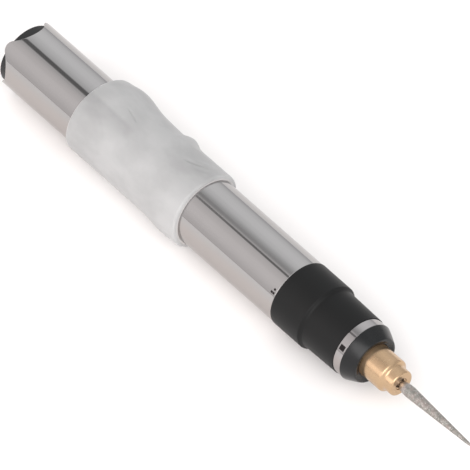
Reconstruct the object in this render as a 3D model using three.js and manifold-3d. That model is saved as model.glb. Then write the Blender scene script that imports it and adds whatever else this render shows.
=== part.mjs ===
// An electric engraving pen: a chromed tube with a soft grip sleeve, a small motor behind a black nose,
// and a brass collet chuck that holds a diamond burr. Millimetres, +X towards the burr's tip, +Z up.
// Stations are distances along the pen's axis from the end face of the tail plug.

import * as THREE from 'three';
import { mergeVertices } from 'three/addons/utils/BufferGeometryUtils.js';
import Module from 'manifold-3d';

// Fits between neighbouring pieces
const fitGap = 0.1;
const seatGap = 0.05;
const runGap = 0.04;
const slotGap = 0.15;
const cutOverrun = 1;
const weldDistance = 0.001;

// Counts of sides round the axis, and of steps along a rounded corner
const tubeSides = 80;
const sleeveSides = 40;
const sleeveRows = 22;
const largeSides = 36;
const mediumSides = 24;
const smallSides = 16;
const sectorSteps = 6;
const wireSides = 4;
const wireSteps = 26;
const roundSteps = 2;
const faceCorners = 3;

// Body tube and the scallops of its tail end
const tubeRadius = 9;
const tubeWall = 0.65;
const tubeLength = 101.05;
const tubeFrontEase = 0.15;
const lobeOverhang = 0.35;
const lobeCount = 4;
const lobeTurn = 50.6;
const scallopDepth = 3.13;
const lobeTipRadius = 2.4;

// Grip sleeve: a swelling sits at a share of the length, faces one side, and fades out along and around
const sleeveSetIn = 26;
const sleeveLength = 40.3;
const sleeveWall = 1.15;
const sleeveLip = 0.6;
const sleeveSwellings = [
  { place_share: 0.17, reach_share: 0.11, side: 60.6, spread: 75, rise: 1.75 },
  { place_share: 0.14, reach_share: 0.13, side: -30, spread: 55, rise: 0.7 },
  { place_share: 0.47, reach_share: 0.16, side: 60.6, spread: 60, rise: 0.3 },
  { place_share: 0.62, reach_share: 0.045, side: 60.6, spread: 40, rise: 0.95 },
  { place_share: 0.45, reach_share: 0.22, side: -119.4, spread: 70, rise: -0.25 },
  { place_share: 0.9, reach_share: 0.1, side: -119.4, spread: 70, rise: 0.4 },
];

// Tail plug
const plugLength = 9;
const plugEase = 0.4;
const plugFloor = 2.2;
const plugWallShare = 0.133;

// DC inlet in the plug: its flange sits in a recess of the end face, its nut tightens from inside
const inletBore = 3.15;
const inletBarrel = 3.95;
const inletLength = 13.2;
const inletBoreDepth = 9.9;
const inletFlangeRadius = 5;
const inletFlange = 1.15;
const inletSetBack = 0.1;
const inletMouthEase = 0.3;
const inletNutFlats = 10;
const inletNutThickness = 2;
const pinRadius = 1;
const pinSetBack = 1.2;
const tailWireRadius = 0.6;
const inletTail = 3;
const contactThickness = 0.25;
const contactWidth = 1.6;
const contactBow = 0.55;
const contactSetBack = 3;

// Nose shell
const noseProud = 0.1;
const noseShoulderLength = 9.7;
const noseStepLength = 1;
const noseStepHeight = 0.725;
const noseTaper = 0.225;
const noseTipWall = 1.25;
const noseLength = 21.55;
const noseEdgeEase = 0.7;
const noseStepEase = 0.5;
const spigotLength = 6;
const spigotWall = 0.6;
const bulkheadSetIn = 5.45;
const bulkheadThickness = 2;

// Nose ring
const ringWidth = 2.35;
const ringSetIn = 0.1;
const ringTaper = 0.225;
const ringEase = 0.12;

// Nose bezel
const bezelReach = 3.3;
const bezelSetIn = 0.025;
const bezelRimWidth = 0.8;
const bezelMouthGap = 0.6;
const bezelMouthEase = 0.45;
const bezelCrown = 2.2;
const bezelSkirtLength = 6;
const bezelSkirtWall = 1.2;

// Motor
const motorRoom = 0.85;
const motorLength = 26;
const canWall = 0.6;
const canFace = 0.7;
const canEase = 0.5;
const shaftRadius = 1;
const shaftHole = 1.4;
const bushRadius = 2;
const bushLength = 2.6;
const bossWall = 0.7;
const bossLength = 1.8;
const bossLip = 0.5;
const bellThickness = 3.2;
const bellBossLength = 1.6;
const bellRecessRadius = 2.9;
const bellRecess = 1.4;
const washerRadius = 1.9;
const washerThickness = 0.5;
const screwCircleShare = 0.64;
const screwHeadShare = 0.227;
const screwShankShare = 0.127;
const screwHeadHeight = 1.2;
const screwReach = 3.4;
const screwHeadEase = 0.4;

// Magnets and rotor
const magnetThicknessShare = 0.147;
const magnetLength = 16;
const magnetHalfAngle = 62;
const rotorSetBack = 5.2;
const rotorLength = 12;
const rotorAirGap = 0.4;
const rotorHubShare = 0.377;
const poleCount = 3;
const poleNeckShare = 0.415;
const poleShoeShare = 0.151;
const poleShoeHalfAngle = 50;
const coilGap = 0.15;
const coilReach = 1.65;
const coilWidthShare = 0.283;
const coilCorner = 1.2;

// Commutator, brushes and their arms
const commutatorRadius = 2.45;
const commutatorHubRadius = 1.7;
const commutatorLength = 2.9;
const commutatorSetBack = 0.4;
const segmentHalfAngle = 54;
const brushWidth = 1.6;
const brushLength = 1.8;
const brushHeight = 1.2;
const armThickness = 0.3;
const armOffsetShare = 0.693;
const armTail = 3.8;

// Suppressor capacitor across the terminals
const capacitorRadius = 2.3;
const capacitorThickness = 1.5;
const capacitorLeg = 0.5;
const capacitorSetBack = 0.6;

// Leads and the wrap round the motor
const leadRadius = 0.65;
const leadLap = 2.2;
const leadSway = 2.4;
const wrapLength = 11;
const wrapSetBack = 1.2;

// Chuck: body on the motor shaft, collet, nut and burr
const nutStand = 9.65;
const nutLength = 16.7;
const nutRadiusShare = 0.5;
const nutTipSetIn = 1;
const nutTipLength = 2.4;
const nutSlope = 1;
const nutEase = 0.35;
const nutMouthEase = 0.2;
const nutShoulderGap = 0.9;
const nutWall = 1.1;
const chuckRearGap = 0.5;
const chuckHubSetIn = 1;
const chuckFlangeSetIn = 0.3;
const chuckFlange = 2;
const chuckFlangeGap = 0.3;
const chuckEase = 0.3;
const chuckWall = 0.8;
const colletTurn = 30.6;
const colletSlots = 3;
const colletSlotWidth = 0.5;
const colletSetBack = 0.2;
const colletNoseRadius = 1.6;
const colletNoseLength = 3.7;
const colletFrontCone = 2.6;
const colletCoverWall = 0.8;
const colletBellyLength = 1.3;
const colletRearCone = 5.3;
const colletRingRadius = 1.8;
const colletRingLength = 3.6;
const burrShankRadius = 1.175;
const burrStand = 25.7;
const burrLength = 44.4;
const burrEndGap = 0.4;
const burrNeckLength = 2;
const burrHeadRadius = 1.45;
const burrHeadRise = 2.2;
const burrTipRadius = 0.4;
const burrTipLength = 1.7;
const burrEase = 0.3;

// Radii that follow the tube's, from the tube inwards to the motor, and from the chuck outwards to the bezel
const tubeBore = tubeRadius - tubeWall;
const motorRadius = tubeBore - motorRoom;
const magnetThickness = motorRadius * magnetThicknessShare;
const magnetBore = motorRadius - canWall - fitGap - magnetThickness;
const rotorRadius = magnetBore - rotorAirGap;
const rotorHub = rotorRadius * rotorHubShare;
const poleNeckWidth = rotorRadius * poleNeckShare;
const poleShoeThickness = rotorRadius * poleShoeShare;
const coilWidth = rotorRadius * coilWidthShare;
const armOffset = motorRadius * armOffsetShare;
const screwCircle = motorRadius * screwCircleShare;
const screwHeadRadius = motorRadius * screwHeadShare;
const screwRadius = motorRadius * screwShankShare;
const noseRadius = tubeRadius + noseProud;
const noseWaistRadius = noseRadius - noseStepHeight;
const noseTipRadius = noseWaistRadius - noseTaper;
const noseBore = noseTipRadius - noseTipWall;
const ringRearRadius = noseTipRadius - ringSetIn;
const ringFrontRadius = ringRearRadius - ringTaper;
const bezelRearRadius = ringFrontRadius - bezelSetIn;
const nutRadius = tubeRadius * nutRadiusShare;
const nutTipRadius = nutRadius - nutTipSetIn;
const bezelMouth = nutRadius + bezelMouthGap;
const bezelRimRadius = bezelMouth + bezelRimWidth;
const threadRadius = nutRadius - nutWall;
const chuckFlangeRadius = nutRadius - chuckFlangeSetIn;
const chuckHubRadius = chuckFlangeRadius - chuckHubSetIn;
const colletBellyRadius = threadRadius - colletCoverWall;

// Stations along the axis
const tubeTail = -lobeOverhang;
const tubeFront = tubeTail + tubeLength;
const sleeveRear = sleeveSetIn;
const noseRear = tubeFront + seatGap;
const noseFront = noseRear + noseLength;
const bulkheadRear = noseRear + bulkheadSetIn;
const bulkheadFront = bulkheadRear + bulkheadThickness;
const ringRear = noseFront + seatGap;
const ringFront = ringRear + ringWidth;
const bezelRear = ringFront + seatGap;
const bezelFront = bezelRear + bezelReach;
const motorFront = bulkheadRear - seatGap;
const motorRear = motorFront - motorLength;
const bossFront = motorFront + bossLength;
const bellFront = motorRear + bellThickness;
const rearBushFront = bellFront - bellRecess;
const frontBushFront = bossFront - bossLip - seatGap;
const frontBushRear = frontBushFront - bushLength;
const rotorFront = motorFront - rotorSetBack;
const rotorRear = rotorFront - rotorLength;
const commutatorFront = rotorRear - coilReach - commutatorSetBack;
const commutatorRear = commutatorFront - commutatorLength;
const brushStation = (commutatorFront + commutatorRear) / 2;
const armRear = motorRear - armTail;
const inletTailEnd = inletLength + inletTail;
const nutFront = bezelFront + nutStand;
const nutRear = nutFront - nutLength;
const colletFront = nutFront - colletSetBack;
const colletNoseRear = colletFront - colletNoseLength;
const bellyFront = colletNoseRear - colletFrontCone;
const bellyRear = bellyFront - colletBellyLength;
const colletConeRear = bellyRear - colletRearCone;
const colletRear = colletConeRear - colletRingLength;
const burrTip = nutFront + burrStand;
const burrRear = burrTip - burrLength;
const shankPocketRear = burrRear - burrEndGap;
const shaftFront = shankPocketRear - chuckWall;
const chuckRear = bulkheadFront + screwHeadHeight + chuckRearGap;

// Turns an angle in degrees into radians.
const radians = (angle) => THREE.MathUtils.degToRad(angle);

// A corner of an outline: its radius from the pen's axis, its station, and how far it is eased.
function at(radius, station, ease = 0) {
  const corner = new THREE.Vector2(radius, station);
  corner.ease = ease;
  return corner;
}

// A point at a distance from one corner towards another, never past half way.
function towards(corner, other, distance) {
  const run = other.clone().sub(corner);
  const reach = Math.min(distance, run.length() / 2);
  return corner.clone().add(run.setLength(reach));
}

// An outline with each corner rounded off by its own ease.
function eased(corners) {
  const points = [];
  corners.forEach((corner, place) => {
    if (!corner.ease) {
      points.push(new THREE.Vector2(corner.x, corner.y));
      return;
    }
    const before = corners[(place + corners.length - 1) % corners.length];
    const after = corners[(place + 1) % corners.length];
    const start = towards(corner, before, corner.ease);
    const end = towards(corner, after, corner.ease);
    points.push(...new THREE.QuadraticBezierCurve(start, corner, end).getPoints(roundSteps));
  });
  return points;
}

// The volume that a geometry's triangles enclose, negative where they face inwards.
function signedVolume(geometry) {
  const flat = geometry.index ? geometry.toNonIndexed() : geometry;
  const place = flat.getAttribute('position');
  const [a, b, c] = [new THREE.Vector3(), new THREE.Vector3(), new THREE.Vector3()];
  let sum = 0;
  for (let corner = 0; corner < place.count; corner += faceCorners) {
    a.fromBufferAttribute(place, corner);
    b.fromBufferAttribute(place, corner + 1);
    c.fromBufferAttribute(place, corner + 2);
    sum += a.dot(b.cross(c)) / 6;
  }
  return sum;
}

// The same geometry with its faces pointing out.
function facingOut(geometry) {
  if (signedVolume(geometry) > 0) {
    return geometry;
  }
  const order = geometry.index.array;
  for (let corner = 0; corner < order.length; corner += faceCorners) {
    [order[corner + 1], order[corner + 2]] = [order[corner + 2], order[corner + 1]];
  }
  return geometry;
}

// A solid of revolution round the pen's axis. An outline that doesn't run from axis to axis closes on itself.
function turned(corners, sides) {
  const outline = eased(corners);
  const onAxis = outline[0].x === 0 && outline[outline.length - 1].x === 0;
  if (!onAxis) {
    outline.push(outline[0].clone());
  }
  return facingOut(new THREE.LatheGeometry(outline, sides).rotateZ(-Math.PI / 2));
}

// A closed wall round the pen's axis whose outline changes with the angle, which runs from +Z towards +Y.
// place(row, angle) gives the radius and station of one row of the outline.
function lofted(rows, sides, place) {
  const positions = [];
  const order = [];
  for (let side = 0; side < sides; side += 1) {
    const angle = (2 * Math.PI * side) / sides;
    for (let row = 0; row < rows; row += 1) {
      const point = place(row, angle);
      positions.push(point.y, point.x * Math.sin(angle), point.x * Math.cos(angle));
      const next = (row + 1) % rows;
      const here = side * rows;
      const beside = ((side + 1) % sides) * rows;
      order.push(here + row, here + next, beside + next);
      order.push(here + row, beside + next, beside + row);
    }
  }
  const geometry = new THREE.BufferGeometry();
  geometry.setAttribute('position', new THREE.Float32BufferAttribute(positions, 3));
  geometry.setIndex(order);
  return facingOut(geometry);
}

// A flat outline drawn in the plane across the pen, extruded forward from a station.
function extruded(shape, start, length, curveSegments) {
  const across = new THREE.Matrix4().makeBasis(
    new THREE.Vector3(0, 1, 0),
    new THREE.Vector3(0, 0, 1),
    new THREE.Vector3(1, 0, 0),
  );
  const solid = new THREE.ExtrudeGeometry(shape, { depth: length, bevelEnabled: false, curveSegments });
  return solid.applyMatrix4(across).translate(start, 0, 0);
}

// A round hole in a flat outline, with its sides matched to those of the small turned pieces.
function roundHole(radius) {
  const points = [];
  for (let side = 0; side < smallSides; side += 1) {
    const turn = (-2 * Math.PI * side) / smallSides;
    points.push(new THREE.Vector2(radius * Math.sin(turn), radius * Math.cos(turn)));
  }
  return new THREE.Path(points);
}

// A bent strip of even thickness along a path, as wide as told, centred on the plane of the path.
function strip(path, thickness, width) {
  const sides = [[], []];
  path.forEach((point, place) => {
    const before = path[Math.max(place - 1, 0)];
    const after = path[Math.min(place + 1, path.length - 1)];
    const into = point.clone().sub(before).normalize();
    const out = after.clone().sub(point).normalize();
    const along = into.clone().add(out).normalize();
    const stretch = Math.max(into.length() ? along.dot(into) : 1, 0.5);
    const offset = new THREE.Vector2(-along.y, along.x).multiplyScalar(thickness / 2 / stretch);
    sides[0].push(point.clone().add(offset));
    sides[1].unshift(point.clone().sub(offset));
  });
  const shape = new THREE.Shape([...sides[0], ...sides[1]]);
  return new THREE.ExtrudeGeometry(shape, { depth: width, bevelEnabled: false }).translate(0, 0, -width / 2);
}

// A round rod between two stations, off the axis by the given height and then turned about the axis.
function rod(radius, start, end, height, angle) {
  const solid = new THREE.CylinderGeometry(radius, radius, end - start, smallSides);
  solid.rotateZ(-Math.PI / 2).translate((start + end) / 2, 0, height);
  return solid.rotateX(-radians(angle));
}

const library = await Module();
library.setup();

// A geometry as a solid that can be joined and cut.
function solidOf(geometry) {
  const bare = geometry.clone();
  bare.deleteAttribute('normal');
  bare.deleteAttribute('uv');
  const merged = mergeVertices(bare, weldDistance);
  return new library.Manifold(
    new library.Mesh({
      numProp: 3,
      vertProperties: new Float32Array(merged.getAttribute('position').array),
      triVerts: new Uint32Array(merged.index.array),
    }),
  );
}

// A joined or cut solid as a geometry again.
function geometryOf(solid) {
  const mesh = solid.getMesh();
  const geometry = new THREE.BufferGeometry();
  geometry.setAttribute('position', new THREE.Float32BufferAttribute(mesh.vertProperties, mesh.numProp));
  geometry.setIndex([...mesh.triVerts]);
  return geometry;
}

// One geometry with others cut out of it.
function cut(geometry, tools) {
  return geometryOf(tools.reduce((solid, tool) => solid.subtract(solidOf(tool)), solidOf(geometry)));
}

// Geometries joined into one body.
function joined(geometries) {
  return geometryOf(geometries.map(solidOf).reduce((solid, other) => solid.add(other)));
}

// A named piece with a finish of its own.
function piece(name, geometry, color, roughness, metalness) {
  geometry.computeVertexNormals();
  const finish = new THREE.MeshStandardMaterial({ color, roughness, metalness });
  const mesh = new THREE.Mesh(geometry, finish);
  mesh.name = name;
  return mesh;
}

// How far the tube's tail edge lies in from the lobe tips, at a distance round from a scallop's middle.
// The scallop's arc and the lobe's rounded tip are tangent, which settles the scallop's radius.
function scallopEdge(distance) {
  const halfPitch = (Math.PI * tubeRadius) / lobeCount;
  const scallopRadius = (halfPitch ** 2 / scallopDepth + scallopDepth) / 2 - lobeTipRadius;
  const centre = scallopDepth - scallopRadius;
  const tangent = (halfPitch * scallopRadius) / (scallopRadius + lobeTipRadius);
  if (distance <= tangent) {
    return centre + Math.sqrt(scallopRadius ** 2 - distance ** 2);
  }
  return lobeTipRadius - Math.sqrt(lobeTipRadius ** 2 - (halfPitch - distance) ** 2);
}

// The chromed tube: each row of its wall runs all round, and the two tail rows follow the scallops.
function bodyTube() {
  const pitch = (2 * Math.PI) / lobeCount;
  const edge = (angle) => {
    const turn = THREE.MathUtils.euclideanModulo(angle - radians(lobeTurn), pitch);
    return tubeTail + scallopEdge(Math.abs(turn - pitch / 2) * tubeRadius);
  };
  const scallopEnd = tubeTail + scallopDepth + lobeTipRadius;
  const rows = [
    (angle) => at(tubeRadius, edge(angle)),
    () => at(tubeRadius, scallopEnd),
    () => at(tubeRadius, tubeFront - tubeFrontEase),
    () => at(tubeRadius - tubeFrontEase, tubeFront),
    () => at(tubeBore, tubeFront),
    () => at(tubeBore, scallopEnd),
    (angle) => at(tubeBore, edge(angle)),
  ];
  const wall = lofted(rows.length, tubeSides, (row, angle) => rows[row](angle));
  return piece('body_tube', wall, 0xb4b2b0, 0.12, 1);
}

// A smooth swell from 0 to 1 and back, 1 at its middle and nearly gone at three reaches away.
const swell = (distance, reach) => Math.exp(-((distance / reach) ** 2));

// The sleeve's thickness at a share of its length and an angle round the pen.
function sleeveThickness(share, angle) {
  const rises = sleeveSwellings.map((one) => {
    const turn = THREE.MathUtils.euclideanModulo(angle - radians(one.side) + Math.PI, 2 * Math.PI) - Math.PI;
    return one.rise * swell(share - one.place_share, one.reach_share) * swell(turn, radians(one.spread));
  });
  return rises.reduce((sum, rise) => sum + rise, sleeveWall);
}

// The silicone grip sleeve: its rows crowd towards the rounded lips at both ends.
function gripSleeve() {
  const inner = tubeRadius + fitGap;
  const place = (row, angle) => {
    if (row >= sleeveRows) {
      const front = row === sleeveRows;
      return at(inner, sleeveRear + (front ? sleeveLength : 0));
    }
    const share = (1 - Math.cos((Math.PI * row) / (sleeveRows - 1))) / 2;
    const fromEnd = Math.min(share, 1 - share) * sleeveLength;
    const lip = Math.min(fromEnd / sleeveLip, 1);
    const roundness = Math.sqrt(1 - (1 - lip) ** 2);
    const thickness = sleeveThickness(share, angle) - sleeveLip * (1 - roundness);
    return at(inner + thickness, sleeveRear + share * sleeveLength);
  };
  const wall = lofted(sleeveRows + 2, sleeveSides, place);
  return piece('grip_sleeve', wall, 0xd4d6d6, 0.45, 0);
}

// The tail plug: a cup with the inlet's recess in its end face.
function endPlug() {
  const radius = tubeBore - fitGap;
  const plugWall = radius * plugWallShare;
  const recess = inletSetBack + inletFlange + seatGap;
  const outline = [
    at(inletFlangeRadius + fitGap, 0),
    at(radius, 0, plugEase),
    at(radius, plugLength, plugEase),
    at(radius - plugWall, plugLength),
    at(radius - plugWall, plugFloor),
    at(inletBarrel + fitGap, plugFloor),
    at(inletBarrel + fitGap, recess),
    at(inletFlangeRadius + fitGap, recess),
  ];
  return piece('end_plug', turned(outline, mediumSides), 0x232425, 0.5, 0);
}

// The inlet's moulded body: flange, barrel and closed rear, with a slot for the side contact.
function socketBody() {
  const barrel = turned(
    [
      at(inletBore, inletSetBack, inletMouthEase),
      at(inletFlangeRadius, inletSetBack, inletMouthEase),
      at(inletFlangeRadius, inletSetBack + inletFlange),
      at(inletBarrel, inletSetBack + inletFlange),
      at(inletBarrel, inletLength),
      at(tailWireRadius + fitGap, inletLength),
      at(tailWireRadius + fitGap, inletBoreDepth),
      at(inletBore, inletBoreDepth),
    ],
    mediumSides,
  );
  const slotStart = contactSetBack - slotGap;
  const slotLength = inletLength + cutOverrun - slotStart;
  const slotHeight = contactThickness + 2 * slotGap;
  const slot = new THREE.BoxGeometry(slotLength, contactWidth + 2 * slotGap, slotHeight);
  slot.translate(slotStart + slotLength / 2, 0, inletBore);
  return piece('socket_body', cut(barrel, [slot]), 0x1a1a1b, 0.45, 0);
}

// The hexagonal nut that holds the inlet in the plug.
function socketNut() {
  const hexagon = new THREE.Shape();
  const corner = inletNutFlats / 2 / Math.cos(Math.PI / 6);
  for (let side = 0; side < 6; side += 1) {
    const turn = (side * Math.PI) / 3;
    hexagon[side ? 'lineTo' : 'moveTo'](corner * Math.cos(turn), corner * Math.sin(turn));
  }
  hexagon.holes.push(roundHole(inletBarrel + fitGap));
  const nut = extruded(hexagon, plugFloor + seatGap, inletNutThickness, 1);
  return piece('socket_nut', nut, 0xb9b9b5, 0.35, 1);
}

// The inlet's centre pin, whose tail comes through the rear for its lead.
function socketPin() {
  const outline = [
    at(0, pinSetBack),
    at(pinRadius, pinSetBack, pinRadius / 2),
    at(pinRadius, inletBoreDepth - seatGap),
    at(tailWireRadius, inletBoreDepth - seatGap),
    at(tailWireRadius, inletTailEnd),
    at(0, inletTailEnd),
  ];
  return piece('socket_pin', turned(outline, smallSides), 0xc9c8c4, 0.3, 1);
}

// The inlet's sprung side contact, bowed into the bore, with a tail for its lead.
function socketContact() {
  const height = inletBore;
  const bowStart = contactSetBack;
  const bowRun = inletBoreDepth - contactSetBack;
  const path = [
    new THREE.Vector2(bowStart, height),
    new THREE.Vector2(bowStart + bowRun / 3, height - contactBow),
    new THREE.Vector2(bowStart + bowRun / 2, height - contactBow),
    new THREE.Vector2(bowStart + bowRun, height),
    new THREE.Vector2(inletTailEnd, height),
  ];
  const spring = strip(path, contactThickness, contactWidth).rotateX(Math.PI / 2);
  return piece('socket_contact', spring, 0xcaa468, 0.35, 1);
}

// The black nose: a spigot in the tube, a bulkhead for the motor, and a stepped, tapering outside.
function noseShell() {
  const spigot = tubeBore - fitGap;
  const spigotBore = spigot - spigotWall;
  const bossHole = bushRadius + bossWall + fitGap;
  const stepStart = noseRear + noseShoulderLength;
  const shell = turned(
    [
      at(spigot, noseRear - spigotLength),
      at(spigot, noseRear),
      at(noseRadius, noseRear, noseEdgeEase / 2),
      at(noseRadius, stepStart, noseEdgeEase),
      at(noseWaistRadius, stepStart + noseStepLength, noseStepEase),
      at(noseTipRadius, noseFront),
      at(noseBore, noseFront),
      at(noseBore, bulkheadFront),
      at(bossHole, bulkheadFront),
      at(bossHole, bulkheadRear),
      at(spigotBore, bulkheadRear),
      at(spigotBore, noseRear - spigotLength),
    ],
    largeSides,
  );
  const screwHoles = [0, 180].map((angle) => rod(
    screwRadius + slotGap,
    bulkheadRear - cutOverrun,
    bulkheadFront + cutOverrun,
    screwCircle,
    angle,
  ));
  return piece('nose_shell', cut(shell, screwHoles), 0x2d2e2e, 0.42, 0);
}

// The bright ring between shell and bezel.
function noseRing() {
  const outline = [
    at(noseBore, ringRear),
    at(ringRearRadius, ringRear, ringEase),
    at(ringFrontRadius, ringFront, ringEase),
    at(noseBore, ringFront),
  ];
  return piece('nose_ring', turned(outline, largeSides), 0xc9c7c4, 0.15, 1);
}

// The domed bezel: its skirt passes through the ring into the shell.
function noseBezel() {
  const skirt = noseBore - fitGap;
  const skirtBore = skirt - bezelSkirtWall;
  const outline = [
    at(skirt, bezelRear - bezelSkirtLength),
    at(skirt, bezelRear),
    at(bezelRearRadius, bezelRear),
    at(bezelRearRadius - bezelCrown / 4, bezelRear + bezelReach / 2, bezelCrown / 2),
    at(bezelRimRadius, bezelFront, bezelCrown / 2),
    at(bezelMouth, bezelFront, bezelMouthEase),
    at(bezelMouth, bezelRear),
    at(skirtBore, bezelRear - bezelMouthEase),
    at(skirtBore, bezelRear - bezelSkirtLength),
  ];
  return piece('nose_bezel', turned(outline, largeSides), 0x37393a, 0.35, 0);
}

// The deep-drawn motor can: closed front with the bush's boss, open rear, two screw holes.
function motorCan() {
  const inner = motorRadius - canWall;
  const bushSeat = bushRadius + runGap;
  const faceInside = motorFront - canFace;
  const can = turned(
    [
      at(motorRadius, motorRear),
      at(motorRadius, motorFront, canEase),
      at(bushRadius + bossWall, motorFront),
      at(bushRadius + bossWall, bossFront),
      at(shaftHole, bossFront),
      at(shaftHole, bossFront - bossLip),
      at(bushSeat, bossFront - bossLip),
      at(bushSeat, faceInside),
      at(inner, faceInside),
      at(inner, motorRear),
    ],
    mediumSides,
  );
  const screwHoles = [0, 180].map((angle) => rod(
    screwRadius + slotGap,
    faceInside - cutOverrun,
    motorFront + cutOverrun,
    screwCircle,
    angle,
  ));
  return piece('motor_can', cut(can, screwHoles), 0x9a9c9e, 0.35, 1);
}

// The motor's plastic end bell, with the rear bush's seat and a slot for each brush arm.
function motorEndBell() {
  const bell = turned(
    [
      at(motorRadius - canWall - fitGap, motorRear),
      at(motorRadius - canWall - fitGap, bellFront),
      at(bellRecessRadius, bellFront),
      at(bellRecessRadius, rearBushFront),
      at(bushRadius + runGap, rearBushFront),
      at(bushRadius + runGap, rearBushFront - bushLength - seatGap),
      at(shaftHole, rearBushFront - bushLength - seatGap),
      at(shaftHole, motorRear - bellBossLength),
      at(bushRadius + bossWall, motorRear - bellBossLength),
      at(bushRadius + bossWall, motorRear),
    ],
    mediumSides,
  );
  const slots = [1, -1].map((side) => {
    const slot = new THREE.BoxGeometry(
      bellThickness + 2 * cutOverrun,
      armThickness + 2 * slotGap,
      brushWidth + 2 * slotGap,
    );
    return slot.translate((motorRear + bellFront) / 2, side * armOffset, 0);
  });
  return piece('motor_end_bell', cut(bell, slots), 0xe2ded0, 0.5, 0);
}

// A plain bush for the motor shaft.
function bush(name, rear) {
  const outline = [
    at(shaftRadius + runGap, rear),
    at(bushRadius, rear),
    at(bushRadius, rear + bushLength),
    at(shaftRadius + runGap, rear + bushLength),
  ];
  return piece(name, turned(outline, smallSides), 0xb08d57, 0.5, 1);
}

// A ring sector round the axis, between two radii and two stations.
function sector(inner, outer, halfAngle, start, length, angle) {
  const reach = radians(halfAngle);
  const middle = Math.PI / 2;
  const shape = new THREE.Shape();
  shape.absarc(0, 0, outer, middle - reach, middle + reach, false);
  shape.absarc(0, 0, inner, middle + reach, middle - reach, true);
  return extruded(shape, start, length, sectorSteps).rotateX(-radians(angle));
}

// One of the two arc magnets inside the can.
function magnet(name, angle) {
  const outer = motorRadius - canWall - fitGap;
  const start = rotorFront - (rotorLength + magnetLength) / 2;
  const arc = sector(magnetBore, outer, magnetHalfAngle, start, magnetLength, angle);
  return piece(name, arc, 0x4a4a4c, 0.7, 0.2);
}

// A carbon brush that rides on the commutator, on the +Y or -Y side.
function brush(name, side) {
  const block = new THREE.BoxGeometry(brushLength, brushHeight, brushWidth);
  const offset = commutatorRadius + fitGap + brushHeight / 2;
  return piece(name, block.translate(brushStation, side * offset, 0), 0x2b2b2d, 0.6, 0.1);
}

// A brush arm: one stamped strip that is the terminal behind the bell and bends in behind its brush.
function brushArm(name, side) {
  const behindBrush = commutatorRadius + fitGap + brushHeight + seatGap + armThickness / 2;
  const path = [
    new THREE.Vector2(armRear, armOffset),
    new THREE.Vector2(brushStation - brushLength, armOffset),
    new THREE.Vector2(brushStation - brushLength / 2, behindBrush),
    new THREE.Vector2(brushStation + brushLength / 2, behindBrush),
  ];
  const arm = strip(path, armThickness, brushWidth);
  if (side < 0) {
    arm.rotateX(Math.PI);
  }
  return piece(name, arm, 0xc8905a, 0.35, 1);
}

// The suppressor: a ceramic disc with a leg to each terminal.
function suppressorCapacitor() {
  const station = motorRear - bellBossLength - capacitorSetBack - capacitorThickness;
  const disc = rod(capacitorRadius, station, station + capacitorThickness, 0, 0);
  const reach = armOffset - armThickness / 2 - slotGap;
  const legs = new THREE.BoxGeometry(capacitorLeg, 2 * reach, capacitorLeg);
  legs.translate(station + capacitorThickness / 2, 0, 0);
  return piece('suppressor_capacitor', joined([disc, legs]), 0xc77b2b, 0.5, 0);
}

// A motor screw: its head bears on the bulkhead, its shank passes into the can's face.
function motorScrew(name, angle) {
  const head = bulkheadFront + seatGap;
  const outline = [
    at(0, head + screwHeadHeight),
    at(screwHeadRadius, head + screwHeadHeight, screwHeadEase),
    at(screwHeadRadius, head),
    at(screwRadius, head),
    at(screwRadius, head - screwReach),
    at(0, head - screwReach),
  ];
  const screw = turned(outline, smallSides).translate(0, 0, screwCircle).rotateX(-radians(angle));
  return piece(name, screw, 0x8d9092, 0.4, 1);
}

// The rubber wrap that centres the motor in the tube.
function motorWrap() {
  const front = noseRear - spigotLength - wrapSetBack;
  const outline = [
    at(motorRadius + fitGap, front - wrapLength),
    at(tubeBore - fitGap, front - wrapLength),
    at(tubeBore - fitGap, front),
    at(motorRadius + fitGap, front),
  ];
  return piece('motor_wrap', turned(outline, mediumSides), 0x2a2a2a, 0.9, 0);
}

// A lead inside the tube, from beside a motor terminal back to a tail of the inlet.
// The slack between the two ends swings to and fro by the sway.
function lead(name, side, tailY, tailZ, color) {
  const front = motorRear - seatGap - leadLap / 2;
  const rear = inletLength + leadLap / 2;
  const run = front - rear;
  const terminalY = side * (armOffset + armThickness / 2 + slotGap + leadRadius);
  const slack = [
    { along_share: 0.86, y: terminalY * 0.8, z: leadSway * side },
    { along_share: 0.68, y: terminalY * 0.45, z: leadSway * 1.4 },
    { along_share: 0.5, y: leadSway * side, z: -leadSway * 0.5 },
    { along_share: 0.3, y: leadSway * side * 1.3, z: leadSway * 0.4 },
    { along_share: 0.14, y: tailY + leadRadius * side, z: tailZ * 0.8 },
  ];
  const route = new THREE.CatmullRomCurve3([
    new THREE.Vector3(front, terminalY, 0),
    new THREE.Vector3(front - leadLap, terminalY, 0),
    ...slack.map((point) => new THREE.Vector3(rear + run * point.along_share, point.y, point.z)),
    new THREE.Vector3(rear + leadLap, tailY, tailZ),
    new THREE.Vector3(rear, tailY, tailZ),
  ]);
  const section = new THREE.Shape();
  section.absarc(0, 0, leadRadius, 0, 2 * Math.PI, false);
  const wire = new THREE.ExtrudeGeometry(section, {
    extrudePath: route,
    steps: wireSteps,
    curveSegments: wireSides,
  });
  return piece(name, wire, color, 0.5, 0);
}

// The motor shaft, from the rear bush to the chuck.
function motorShaft() {
  const rear = rearBushFront - bushLength;
  const outline = [
    at(0, rear),
    at(shaftRadius, rear, shaftRadius / 4),
    at(shaftRadius, shaftFront, shaftRadius / 4),
    at(0, shaftFront),
  ];
  return piece('motor_shaft', turned(outline, smallSides), 0xc0c2c4, 0.2, 1);
}

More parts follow.
